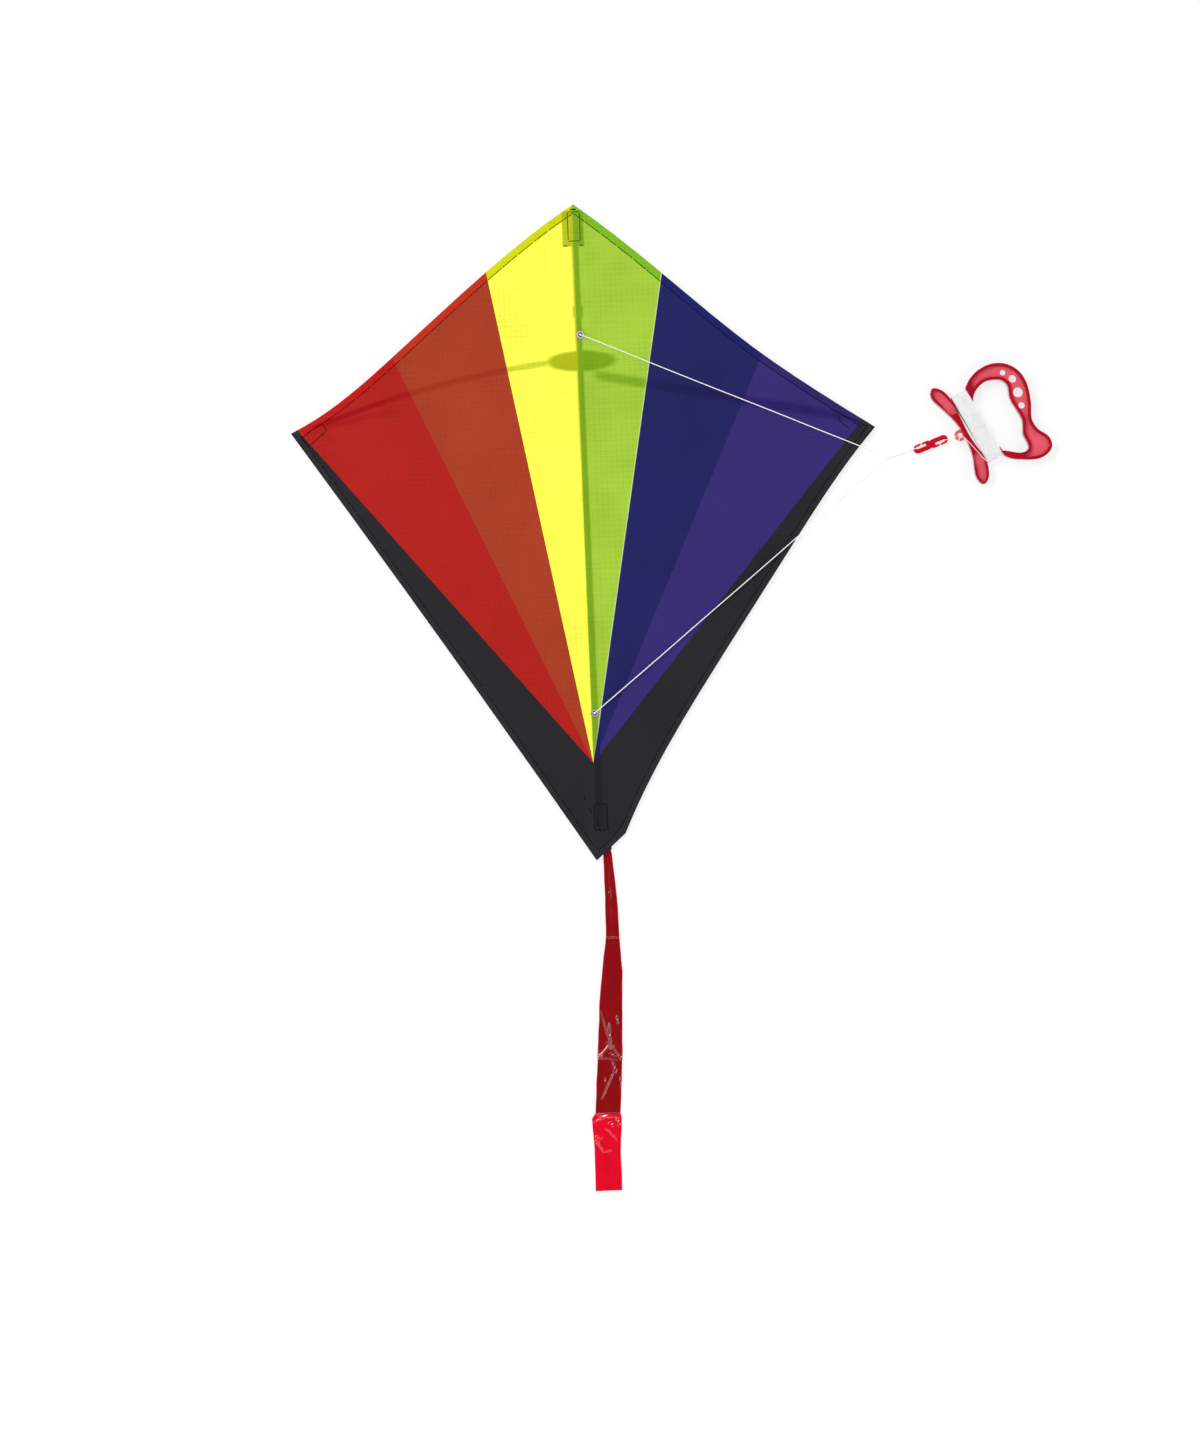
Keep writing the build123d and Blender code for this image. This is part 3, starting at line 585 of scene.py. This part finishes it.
def between(value, start, end, blur):
    """A soft stretch of the value from start to end."""
    half = (end - start) / 2
    off = add(tree, "Math", {0: value, 1: (start + end) / 2}, operation="SUBTRACT")
    return band(add(tree, "Math", {0: off}, operation="ABSOLUTE"), half - blur, half + blur)


def spar_painted_shadow(points, reach, near, far):
    """A soft band of painted shadow along the curve through three points, over a stretch of x."""
    (x0, y0), (x1, y1), (x2, y2) = points
    slope = (y1 - y0) / (x1 - x0)
    bend = ((y2 - y1) / (x2 - x1) - slope) / (x2 - x0)
    first = add(tree, "Math", {0: x, 1: bend, 2: slope - bend * (x0 + x1)}, operation="MULTIPLY_ADD")
    start = y0 - slope * x0 + bend * x0 * x1
    line = add(tree, "Math", {0: first, 1: x, 2: start}, operation="MULTIPLY_ADD")
    off = add(tree, "Math", {0: y, 1: line}, operation="SUBTRACT")
    stripe = band(add(tree, "Math", {0: off}, operation="ABSOLUTE"), near, far)
    return add(tree, "Math", {0: stripe, 1: between(x, *reach, 6.0)}, operation="MULTIPLY")


def both(mask, other):
    """Where two soft masks meet."""
    return add(tree, "Math", {0: mask, 1: other}, operation="MULTIPLY")


# Painted shadows on the cloth: of the spine and its sleeve, the centre fitting, the nose and tail pockets and
# the spar halves.
spine_line = add(tree, "Math", {0: y, 1: -0.0045, 2: -1.4}, operation="MULTIPLY_ADD")
off_spine = add(tree, "Math", {0: x, 1: spine_line}, operation="SUBTRACT")
off_spine = add(tree, "Math", {0: off_spine}, operation="ABSOLUTE")
spine_painted_shadow = both(band(off_spine, 2.2, 4.8), between(y, -482.0, 124.0, 3.0))
sleeve_painted_shadow = both(band(off_spine, 4.0, 6.5), between(y, 44.0, 58.0, 3.0))
fitting_half = (37.0, 11.0)
lens_x = add(tree, "Math", {0: x, 1: fitting_half[0]}, operation="DIVIDE")
lens_y = add(tree, "Math", {0: y, 1: fitting_half[1]}, operation="DIVIDE")
lens = add(tree, "CombineXYZ", {0: lens_x, 1: lens_y})
lens_reach = add(tree, "VectorMath", {0: lens}, operation="LENGTH").outputs["Value"]
nose_pocket_painted_shadow = both(between(x, -14.6, 7.5, 0.6), between(y, 118.0, 154.5, 0.6))
tail_pocket_painted_shadow = both(between(x, -5.0, 9.2, 0.6), between(y, -484.5, -456.0, 0.6))
behind = [  # painted shadow of what lies behind the cloth, and how strongly
    (spine_painted_shadow, 0.9), (sleeve_painted_shadow, 0.75), (band(lens_reach, 0.80, 1.12), 0.95),
    (nose_pocket_painted_shadow, 0.85), (tail_pocket_painted_shadow, 0.5),
    (spar_painted_shadow(((-37, -1), (-79, -6.5), (-288, -61.5)), (-280, -28), 1.2, 4.8), 0.62),
    (spar_painted_shadow(((-37, -1), (-79, -6.5), (-288, -61.5)), (-272, -200), 1.4, 3.8), 0.95),
    (spar_painted_shadow(((-267, -58.6), (-221, -48.6), (-175, -40.4)), (-282, -200), 1.0, 4.4), 0.3),
    (spar_painted_shadow(((18, -15.5), (140, -41), (264, -65.5)), (14, 270), 2.0, 7.6), 0.72),
]
shade = None
for mask, strength in behind:
    layer = both(mask, strength)
    shade = layer if shade is None else add(tree, "Math", {0: shade, 1: layer}, operation="MAXIMUM")
# Painted shadow: where something lies behind, the cloth takes its darker shadow colour.
colour = add(tree, "Mix", {0: shade, 6: colour.outputs[2], 7: ramps[2]}, data_type="RGBA")
seam_turn = math.radians(panels[4][0])     # the unprinted line between the green and the blue panel
beside_x = add(tree, "Math", {0: fan_x, 1: math.cos(seam_turn)}, operation="MULTIPLY")
beside = add(tree, "Math", {0: fan_y, 1: -math.sin(seam_turn), 2: beside_x}, operation="MULTIPLY_ADD")
beside = add(tree, "Math", {0: beside}, operation="ABSOLUTE")
ahead_of_fan = add(tree, "MapRange", {"Value": fan_y, "From Min": 5.0, "From Max": 40.0, "To Max": 0.55})
unprinted = both(band(beside, 0.25, 0.75), ahead_of_fan)
colour = add(tree, "Mix", {0: unprinted, 6: colour.outputs[2], 7: linear("#DDECC4")}, data_type="RGBA")
thread_x, thread_y, weave_x, weave_y = [
    add(tree, "Math", {0: way, 1: pitch / 2}, operation="PINGPONG")
    for pitch in (ripstop_square, weave_pitch) for way in (x, y)
]
nearest = add(tree, "Math", {0: thread_x, 1: thread_y}, operation="MINIMUM")
thread = band(nearest, 0.12, 0.42)
weave = both(weave_x, weave_y)
worn = add(tree, "TexNoise", {"Vector": place, "Scale": 0.05, "Detail": 4.0})
worn = add(tree, "MapRange", {"Value": worn, "From Min": 0.35, "From Max": 0.65, "To Min": 0.02,
                              "To Max": 0.15})
cloud = add(tree, "TexNoise", {"Vector": place, "Scale": 0.012, "Detail": 3.0})
cloud = add(tree, "MapRange", {"Value": cloud, "From Min": 0.3, "From Max": 0.7, "To Min": -0.07,
                               "To Max": 0.09})
drawn = add(tree, "Mapping", {"Vector": place, "Scale": (0.012, 0.9, 1.0)})
drawn = add(tree, "TexNoise", {"Vector": drawn, "Scale": 1.0, "Detail": 3.0})
drawn = add(tree, "MapRange", {"Value": drawn, "From Min": 0.3, "From Max": 0.7, "To Min": -0.035,
                               "To Max": 0.035})
uneven = add(tree, "Math", {0: cloud, 1: drawn}, operation="ADD")
taken = add(tree, "Math", {0: thread, 1: worn, 2: uneven}, operation="MULTIPLY_ADD")
light = add(tree, "Math", {0: 1.0, 1: taken}, operation="SUBTRACT")
colour = add(tree, "VectorMath", {0: colour.outputs[2], "Scale": light}, operation="SCALE")
relief = add(tree, "Math", {0: weave, 1: 0.5, 2: thread}, operation="MULTIPLY_ADD")
bump = add(tree, "Bump", {"Strength": 0.35, "Distance": 0.12 * mm, "Height": relief})
feed(shader, {"Base Color": colour, "Normal": bump})
paint(sail, ripstop)

# The hem: the same cloth turned over a rounded edge and sewn down behind, as one band round the outline.
outline = np.concatenate([left_edge[::-1], right_edge[1:-1]])
keep = [0]
for index in range(1, len(outline)):
    if math.hypot(*(outline[index] - outline[keep[-1]])) > 0.5:
        keep.append(index)
outline = outline[keep]
dense = []
for start, end in zip(outline, np.roll(outline, -1, axis=0)):
    steps = max(1, round(math.hypot(*(end - start)) / 4))
    dense += [start + (end - start) * step / steps for step in range(steps)]
outline = np.array(dense)
ahead = np.roll(outline, -1, axis=0) - outline
ahead /= np.hypot(ahead[:, 0], ahead[:, 1])[:, None]
back = np.roll(ahead, 1, axis=0)
inward_a = np.stack([-ahead[:, 1], ahead[:, 0]], axis=1)
inward_b = np.stack([-back[:, 1], back[:, 0]], axis=1)
inward = (inward_a + inward_b) / (1 + (inward_a * inward_b).sum(axis=1))[:, None]
tip_level = np.where(outline[:, 0] < 0, left_tip[1], right_tip[1])
hem_width = np.where(outline[:, 1] < tip_level, narrow_hem, wide_hem)
section = [  # share of the hem width inward plus a distance, and height over the printed face
    (0, 0.25, 0.03), (0, 0.0, 0.0), (0, -0.2, -0.22), (0, -0.16, -0.5), (0, 0.1, -0.68), (1, 0.0, -0.66),
    (1, 0.1, -0.5), (1, 0.0, -0.34), (0, 0.5, -0.3),
]
vertices = []
for (px, py), normal, across in zip(outline, inward, hem_width):
    for share_in, extra, rise in section:
        hx, hy = np.array((px, py)) + normal * (share_in * across + extra)
        vertices.append((hx * mm, hy * mm, (cloth_top(hx, hy) + rise) * mm))
faces = []
loop = len(section)
for index in range(len(outline)):
    after = (index + 1) % len(outline)
    for side in range(loop):
        beside = (side + 1) % loop
        faces.append((index * loop + side, index * loop + beside, after * loop + beside, after * loop + side))
hem_piece = made_piece("sail_hem", vertices, faces, hem_shares=np.full(len(vertices), 0.5), crease=50)
paint(hem_piece, ripstop)


# ---------------------------------------------------------------- pockets behind the sail
# Doubled black nylon sewn behind the nose, the tail and both tips, each with a bulge that takes a rod's
# capped end. The bulge is closed towards the edge of the sail and open the other way.
pocket_wall = 0.3
pocket_gap = 0.45              # between the sail's back and the pocket's cloth
cap_radius = 2.9


def sew_pocket(name, node, origin, heading, length, flaps, bulge_half, floor_height):
    """A pocket from origin along heading: flaps are its reach to the left and right of the rod."""
    ahead = Vector((math.sin(heading), math.cos(heading)))
    beside = Vector((math.cos(heading), -math.sin(heading)))
    count_u, count_v = 36, 28
    vertices = []
    for row in range(count_v + 1):
        along = length * row / count_v
        closing = 1 - max(0, (along - length + 7) / 7) ** 2
        for column in range(count_u + 1):
            side = flaps[0] + (flaps[1] - flaps[0]) * column / count_u
            spot = Vector(origin) + ahead * along + beside * side
            under = cloth_top(*spot) - cloth_thickness - pocket_gap
            swell = 1 / (1 + (abs(side) / bulge_half) ** 6)
            level = floor_height(spot)
            height = under - max(0, under - level) * swell * max(0, closing)
            vertices.append((spot.x * mm, spot.y * mm, height * mm))
    piece = made_piece(name, vertices, sheet_faces(count_u, count_v), wall=pocket_wall)
    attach(piece, "kite")
    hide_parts(node)
    return piece


def under_spine(spot):
    """Height of a pocket's bottom under the spine's caps."""
    return ridge_height - spine_to_cloth + ridge_slope * spot[1] - cap_radius


def tip_patch(name, node, tip, seam, cap, floor_height):
    """A corner patch from just inside a tip to its seam, with a bulge round the spar's capped end."""
    low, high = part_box(cap)
    side = 1 if tip[0] > 0 else -1
    cap_end = (high[0] if side > 0 else low[0]) / mm
    near_tip = Vector(tip) + Vector((-3.5 * side, 0.7))
    seam = [Vector(point) for point in seam]
    seam_x, seam_y = zip(*seam)
    reach = [0.0]
    for start, end in zip(seam, seam[1:]):
        reach.append(reach[-1] + (end - start).length)
    count_u, count_v = 48, 30
    axis_start = Vector((cap_end, (low[1] + high[1]) / 2 / mm))
    spar_inside = Vector((side * 265.0, tip[1] + (7.6 if side < 0 else 12.2)))
    axis_ahead = (spar_inside - axis_start).normalized()
    vertices = []
    for row in range(count_v + 1):
        for column in range(count_u + 1):
            along_seam = reach[-1] * column / count_u
            edge = Vector((np.interp(along_seam, reach, seam_x), np.interp(along_seam, reach, seam_y)))
            spot = near_tip + (edge - near_tip) * row / count_v
            off = spot - axis_start
            along = off.dot(axis_ahead)
            beside = abs(off.cross(axis_ahead))
            under = cloth_top(*spot) - cloth_thickness - pocket_gap
            swell = 1 / (1 + (beside / 3.4) ** 6) * min(1, max(0, (along + 3.0) / 3.0))
            height = under - max(0, under - floor_height) * swell
            vertices.append((spot.x * mm, spot.y * mm, height * mm))
    piece = made_piece(name, vertices, sheet_faces(count_u, count_v), wall=pocket_wall)
    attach(piece, "kite")
    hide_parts(node)
    return piece


left_end = [(-270.4, -53.5), (-265.4, -59.9), (-266.5, -62.4), (-283.6, -76.2)]
left_seam = [(-281.0, -58.2), *left_end, (-288.0, -74.0)]
right_seam = [(274.3, -79.9), (263.4, -71.55), (262.3, -68.8), (265.7, -64.4), (291.5, -77.9), (285.0, -86.8)]
tip_bulge_floor = 0.45         # height of the bulge's bottom over the ground at the tips
pockets = [
    sew_pocket("nose_pocket_cloth", "nose_pocket", (0, 119.0), 0.0, 35.0, (-14.0, 7.2), 4.2, under_spine),
    sew_pocket("tail_pocket_cloth", "tail_pocket", (0, -456.5), math.pi, 27.5, (-9.0, 5.0), 4.2, under_spine),
    tip_patch("left_tip_pocket_cloth", "left_tip_pocket", left_tip, left_seam, "left_spar_cap",
              tip_bulge_floor),
    tip_patch("right_tip_pocket_cloth", "right_tip_pocket", right_tip, right_seam, "right_spar_cap",
              tip_bulge_floor),
]
pocket_nylon, tree, shader = new_material("black oxford nylon", Roughness=0.7, Specular_IOR_Level=0.25,
                                          Sheen_Weight=0.15)
basket_pitch = 0.7
place, axis = axes_in_mm(tree)
warp = add(tree, "Math", {0: axis, 1: basket_pitch / 2}, operation="PINGPONG")
weft = add(tree, "Math", {0: axis.outputs[1], 1: basket_pitch / 2}, operation="PINGPONG")
basket = add(tree, "Math", {0: warp, 1: weft}, operation="MULTIPLY")
# Painted shade: the weave is coloured darker where its bump sinks between the threads.
ramp = add(tree, "ValToRGB", {"Fac": basket})
ramp.color_ramp.elements[0].color = linear("#161618")
ramp.color_ramp.elements[1].color = linear("#39393D")
ramp.color_ramp.elements[1].position = 0.12
bump = add(tree, "Bump", {"Strength": 0.6, "Distance": 0.2 * mm, "Height": basket})
feed(shader, {"Base Color": ramp, "Normal": bump})
for pocket in pockets:
    paint(pocket, pocket_nylon)
paint(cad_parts["tail_tab"], pocket_nylon)


# ---------------------------------------------------------------- stitching
# Dark polyester thread in a lockstitch: along the inner edge of the hem, in a box over each pocket, and
# in short bar tacks. Each stitch is a small bowed strand that dips into the cloth at both ends, drawn
# thicker than real thread so that it shows.
thread_radius = 0.38
thread_sides = 6
stations = ((-0.5, 0.5, -0.12), (-0.3, 1, 0.08), (0.3, 1, 0.08), (0.5, 0.5, -0.12))  # along, size, rise
back_face = -0.72              # height of the stitches behind, from the printed face


def sew(vertices, faces, start, end, pitch=2.7, length=2.55, only_inside=False):
    """Adds the stitches from start to end, on both faces of the cloth."""
    start, end = Vector(start), Vector(end)
    ahead = (end - start).normalized()
    beside = Vector((-ahead.y, ahead.x))
    for index in range(int((end - start).length / pitch)):
        centre = start + ahead * pitch * (index + 0.5)
        if only_inside and hem_share(centre.x, centre.y) < 0.86:
            continue
        for face in (1, -1):
            first = len(vertices)
            for station, size, rise in stations:
                spot = centre + ahead * station * length
                height = cloth_top(*spot) + (rise if face > 0 else back_face - rise)
                for side in range(thread_sides):
                    angle = 2 * math.pi * side / thread_sides
                    off = spot + beside * thread_radius * size * math.cos(angle)
                    level = height + thread_radius * size * math.sin(angle)
                    vertices.append((off.x * mm, off.y * mm, level * mm))
            for station in range(3):
                for side in range(thread_sides):
                    a = first + station * thread_sides + side
                    b = first + station * thread_sides + (side + 1) % thread_sides
                    faces.append((a, b, b + thread_sides, a + thread_sides))
            faces.append(tuple(first + side for side in range(thread_sides))[::-1])
            faces.append(tuple(first + 3 * thread_sides + side for side in range(thread_sides)))


def sewn_piece(name, lines, **how):
    """One piece of all the stitches along some lines."""
    vertices, faces = [], []
    for start, end in lines:
        sew(vertices, faces, start, end, **how)
    piece = made_piece(name, vertices, faces)
    paint(piece, thread)
    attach(piece, "kite")
    return piece


thread = streaked("twisted polyester thread", "#0C0C0E", (900, 900, 900), 0.7, Specular_IOR_Level=0.05)
inset = 0.7                    # of the seam from the hem's inner edge
seam = outline + inward * (hem_width - inset)[:, None]
chord = 5
hem_lines = [(seam[index], seam[min(index + chord, len(seam) - 1)])
             for index in range(0, len(seam) - 1, chord)]
hem_lines.append((seam[-1], seam[0]))
nose_box = [(-8.7, 123.4), (3.7, 123.4), (3.7, 153.4), (-8.7, 153.4), (-8.7, 123.4)]
tail_box = [(-4.4, -456.5), (-4.4, -483.8), (8.9, -483.8), (8.9, -456.5), (-4.4, -456.5)]
left_box = [(-291.5, -67.9), *left_end, (-291.5, -67.9)]
box_lines = []
for corners_of_box in (nose_box, tail_box, left_box, right_seam):
    box_lines += list(zip(corners_of_box, corners_of_box[1:]))
tacks = [
    ((-6.0, 155.6), (0.8, 155.6)), ((-5.6, 156.3), (0.6, 156.3)), ((-14.0, 118.8), (-9.2, 118.8)),
    ((2.6, 118.8), (7.0, 118.8)), ((-14.6, -447.5), (-12.8, -452.5)), ((-10.0, -459.0), (-7.5, -466.0)),
    ((-2.5, -470.5), (-0.3, -481.0)), ((0.2, -481.5), (1.2, -485.0)), ((8.8, -479.0), (9.8, -485.0)),
]
stitches = [
    sewn_piece("hem_stitches", hem_lines, only_inside=True),
    sewn_piece("pocket_stitches", box_lines, pitch=1.9, length=1.75),
    sewn_piece("bar_tacks", tacks, pitch=0.9, length=1.0),
]
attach(sail, "kite")
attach(hem_piece, "kite")
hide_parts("sail")


# ---------------------------------------------------------------- eyelets and bridle ties
# Pressed brass eyelets with a bright nickel plate and matching washers behind; through each one a double
# turn of bridle cord is tied round the spine.
nickel = streaked("nickel-plated brass", "#F4F2EE", (700, 700, 700), 0.38, Metallic=1.0)
tree = nickel.node_tree
# Painted shade: the steep rolled rim is coloured near black and the flat face bright, by how each faces up.
rolled = add(tree, "SeparateXYZ", {0: add(tree, "TexCoord").outputs["Normal"]})
painted_rim_shade = add(tree, "MapRange", {"Value": rolled.outputs[2], "From Min": 0.9, "From Max": 0.995})
plate = add(tree, "Mix", {0: painted_rim_shade, 6: linear("#141414"), 7: linear("#F4F2EE")}, data_type="RGBA")
feed(tree.nodes["Principled BSDF"], {"Base Color": plate.outputs[2]})
for node in ("upper_eyelet", "lower_eyelet", "upper_eyelet_washer", "lower_eyelet_washer"):
    paint(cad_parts[node], nickel)


tie_steps = 24
neck_top = 2.0 * mm            # how far the strands stand up over the turns


def tie_round_spine(name, node):
    """Two turns of cord round the spine, and a neck of two strands up through the eyelet to the knot."""
    low, high = (Vector(corner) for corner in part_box(node))
    centre = (low + high) / 2
    reach = (high.x - low.x) / 2 - bridle_cord / 2
    route = [centre + Vector((0.4 * mm, -0.6 * mm, reach + neck_top))]
    for step in range(tie_steps + 1):
        angle = 4 * math.pi * step / tie_steps
        climb = (step / tie_steps - 0.5) * 1.1 * mm
        route.append(centre + Vector((reach * math.sin(angle), climb, reach * math.cos(angle))))
    route.append(centre + Vector((-0.3 * mm, 0.6 * mm, reach + neck_top)))
    tie = as_mesh(lay_cord(name, route, bridle_cord, 35 * mm))
    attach(tie, "kite")
    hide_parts(node)


tie_round_spine("upper_tie", "upper_bridle_tie")
tie_round_spine("lower_tie", "lower_bridle_tie")


# ---------------------------------------------------------------- moulded red plastic: clip and handle
# Clear-tinted polystyrene, injection moulded and glossy. The clip and the handle's rims are thick and deep
# red, and light comes through the thin web in a paler red. All edges are rounded by the mould.
def moulded_copy(name, node, rounding, segments):
    """A copy of the CAD solid with merged faces and rounded edges."""
    piece = bpy.data.objects.new(name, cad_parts[node].data.copy())
    bpy.context.scene.collection.objects.link(piece)
    bpy.context.view_layer.objects.active = piece
    piece.select_set(True)
    bpy.ops.object.mode_set(mode="EDIT")
    bpy.ops.mesh.select_all(action="SELECT")
    bpy.ops.mesh.remove_doubles(threshold=0.01 * mm)
    bpy.ops.mesh.dissolve_limited(angle_limit=math.radians(4))
    bpy.ops.object.mode_set(mode="OBJECT")
    edges = piece.modifiers.new("mould rounding", "BEVEL")
    edges.width = rounding
    edges.segments = segments
    edges.limit_method = "ANGLE"
    edges.angle_limit = math.radians(40)
    edges.miter_outer = "MITER_ARC"
    bpy.ops.object.modifier_apply(modifier=edges.name)
    faces = piece.modifiers.new("clean faces", "TRIANGULATE")
    bpy.ops.object.modifier_apply(modifier=faces.name)
    bpy.ops.object.shade_smooth_by_angle(angle=math.radians(35))
    bpy.ops.object.select_all(action="DESELECT")
    return piece


def tinted_plastic(name, thin, thick, wall, mid_height, thin_reach, thick_reach, transmission):
    """Clear-tinted moulding: painted paler where light comes through its thin parts, deep where it is thick,
    and with painted shade on its steep walls.
    """
    material, tree, shader = new_material(name, Roughness=0.09, IOR=1.59, Coat_Weight=0.3,
                                          Transmission_Weight=transmission)
    coords = add(tree, "TexCoord")
    axis = add(tree, "SeparateXYZ", {0: coords.outputs["Object"]})
    off = add(tree, "Math", {0: axis.outputs[2], 1: mid_height * mm}, operation="SUBTRACT")
    off = add(tree, "Math", {0: off}, operation="ABSOLUTE")
    thick_share = add(tree, "MapRange", {"Value": off, "From Min": thin_reach * mm,
                                         "From Max": thick_reach * mm}, interpolation_type="SMOOTHSTEP")
    facing = add(tree, "SeparateXYZ", {0: coords.outputs["Normal"]})
    level = add(tree, "Math", {0: facing.outputs[2]}, operation="ABSOLUTE")
    steep = add(tree, "MapRange", {"Value": level, "From Min": 0.6, "From Max": 0.15})
    flow = add(tree, "TexNoise", {"Vector": coords.outputs["Object"], "Scale": 45.0, "Detail": 2.0,
                                  "Distortion": 0.8})
    flow = add(tree, "MapRange", {"Value": flow, "To Min": 0.88, "To Max": 1.1})
    # Painted light and shade: paler where light comes through thin parts, and the wall colour as shade on
    # steep walls.
    body = add(tree, "Mix", {0: thick_share, 6: linear(thin), 7: linear(thick)}, data_type="RGBA")
    body = add(tree, "Mix", {0: steep, 6: body.outputs[2], 7: linear(wall)}, data_type="RGBA")
    body = add(tree, "VectorMath", {0: body.outputs[2], "Scale": flow}, operation="SCALE")
    feed(shader, {"Base Color": body})
    return material


# Colours: thin parts lit through, thick parts, and painted shade on the steep walls.
clip = moulded_copy("line_clip_moulding", "line_clip", 0.8 * mm, 4)
paint(clip, tinted_plastic("moulded red polystyrene, clip", "#D00A24", "#CC0A26", "#8C0A1C",
                           3.0, 1.0, 1.6, 0.0))
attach(clip, "clip")
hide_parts("line_clip")

handle = moulded_copy("line_handle_moulding", "winder_handle", 0.85 * mm, 4)
paint(handle, tinted_plastic("moulded clear-red polystyrene, handle", "#FF6474", "#BC0826", "#80081C",
                             5.0, 2.2, 4.2, 0.1))
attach(handle, "winder")
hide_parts("winder_handle")


# ---------------------------------------------------------------- tail
# Two streamers of glossy red film, one longer than the other, gathered where they are tied behind the
# hem. The film is stiff for its weight, so it keeps every crease.
film_thickness = 0.12
film_top = -500                # where the streamers come out of the tie
film_down = [-856.5, -814.0, -781.3, -776.0, -720.5, -661.0, -630.0, -594.5, -555.0, -508.0, -500.0]
film_left = [-18.0, -17.6, -19.1, -15.3, -11.0, -6.7, -2.9, 2.5, 3.1, 3.0, 2.8]
film_right = [9.6, 9.5, 11.9, 10.9, 14.8, 17.1, 18.2, 16.6, 15.8, 11.9, 9.2]
sharp_creases = [
    ((-6.3, -669.9), (3.2, -704.6)), ((3.2, -704.6), (14.2, -722.2)), ((-10.4, -718.5), (3.2, -704.6)),
    ((-10.4, -718.5), (9.4, -721.1)), ((3.8, -722.0), (5.4, -733.5)), ((5.4, -733.5), (-8.4, -761.8)),
    ((-17.5, -785.0), (-5.5, -780.0)), ((-5.5, -780.0), (9.8, -780.7)), ((-5.9, -791.0), (7.9, -806.0)),
    ((-17.1, -799.5), (-8.7, -816.0)), ((-8.7, -816.0), (1.3, -814.6)), ((2.6, -595.0), (15.6, -595.0)),
]
crease_height = 0.75
crease_reach = 1.15
bright_facets = [  # place, reach across and along: patches of film that lean towards the key light
    ((2.6, -697.0), 1.1, 8.0), ((2.0, -706.0), 3.0, 2.2), ((13.0, -719.0), 2.4, 2.0),
    ((-9.0, -716.0), 2.0, 2.6), ((5.0, -716.0), 3.0, 1.4), ((6.2, -730.0), 1.6, 3.5),
    ((6.2, -547.0), 1.0, 1.3), ((-6.0, -778.5), 5.0, 1.5), ((1.0, -788.0), 2.4, 2.0),
    ((-13.0, -801.0), 2.6, 1.6), ((-15.0, -807.0), 1.6, 2.2), ((8.0, -785.0), 1.6, 3.0),
    ((11.0, -680.0), 0.9, 3.0), ((-4.0, -742.0), 1.2, 2.0), ((12.5, -745.0), 1.0, 4.0),
]
facet_slope = (0.265, -0.28)


def crumple(x, y, share):
    """Height of the creased film over the ground, in millimetres."""
    down = film_top - y
    height = 0.8 * (1 + noise.noise(Vector((x / 34, y / 60, 2.2))))
    for start_place, end_place in sharp_creases:
        away, along = to_line(x, y, start_place, end_place)
        away += 0.35 * noise.noise(Vector((x / 3, y / 3, start_place[0])))
        if away < crease_reach:
            sharpness = 0.45 + 0.55 * math.sin(math.pi * along)
            height += crease_height * (1 - abs(away) / crease_reach) * sharpness
    for (centre_x, centre_y), reach_x, reach_y in bright_facets:
        off = ((x - centre_x) / reach_x / 2) ** 2 + ((y - centre_y) / reach_y / 2) ** 2
        if off < 1:
            height += (facet_slope[0] * (x - centre_x) + facet_slope[1] * (y - centre_y)) * (1 - off) ** 2
    near, far = noise.voronoi(Vector((x / 13 + 0.03 * y, y / 34, 4.2)))[0][:2]
    height += 0.25 * max(0.0, 1 - 2.2 * (far - near))
    pleat = abs(math.sin(math.pi * (1.6 * share + 0.35 * math.sin(down / 47))))
    pleat *= 0.15 + 0.9 * math.exp(-down / 60)
    start = min(1, max(0.0, (down - 4) / 25))
    return (height + pleat) * start * (0.35 + 0.65 * min(1, down / 60))


def film_streamer(name, node, bottom, base, seed, clearance):
    """A streamer from the tie down to its cut end."""
    count_u, count_v = 64, int((film_top - bottom) / 0.62)
    vertices = []
    for row in range(count_v + 1):
        y = film_top + (bottom - film_top) * row / count_v
        left = np.interp(y, film_down, film_left) + clearance + 0.5 * noise.noise(Vector((seed, y / 16, 0)))
        right = np.interp(y, film_down, film_right) - clearance
        right += 0.5 * noise.noise(Vector((seed + 5, y / 16, 0)))
        for column in range(count_u + 1):
            share = column / count_u
            x = left + (right - left) * share
            height = base + crumple(x, y, share)
            vertices.append((x * mm, y * mm, height * mm))
    faces = [(b, a, d, c) for a, b, c, d in sheet_faces(count_u, count_v)]
    piece = made_piece(name, vertices, faces, wall=film_thickness)
    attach(piece, "tail")
    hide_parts(node)
    return piece


def film_material(name, code, dark):
    """Dyed polyester film: mirror-smooth, so each crease shows as a sharp light and dark line."""
    material, tree, shader = new_material(name, Roughness=0.13, IOR=1.6, Coat_Weight=1.0)
    place = add(tree, "Mapping", {"Vector": add(tree, "TexCoord").outputs["Object"], "Scale": (90, 40, 90)})
    tone = add(tree, "TexNoise", {"Vector": place, "Scale": 1.0, "Detail": 3.0})
    ramp = add(tree, "ValToRGB", {"Fac": tone})
    ramp.color_ramp.elements[0].color = linear(dark)
    ramp.color_ramp.elements[0].position = 0.3
    ramp.color_ramp.elements[1].color = linear(code)
    ramp.color_ramp.elements[1].position = 0.7
    cells = add(tree, "TexVoronoi", {"Vector": place, "Scale": 2.5}, feature="DISTANCE_TO_EDGE")
    bump = add(tree, "Bump", {"Strength": 0.2, "Distance": 0.3 * mm, "Height": cells})
    feed(shader, {"Base Color": ramp, "Normal": bump})
    return material


streamers = [
    ("long_streamer", "tail_long_ribbon", 28.0, -856.4, 0.15, 0.0, 0.0, "#F4002A", "#E00026"),
    ("short_streamer", "tail_short_ribbon", 26.5, -776.0, 1.3, 3.0, 0.3, "#98040C", "#8A030A"),
]
for name, node, cut_width, bottom, base, seed, clearance, code, dark in streamers:
    streamer = film_streamer(name, node, bottom, base, seed, clearance)
    paint(streamer, film_material(f"dyed polyester film, {name.replace('_', ' ')}", code, dark))
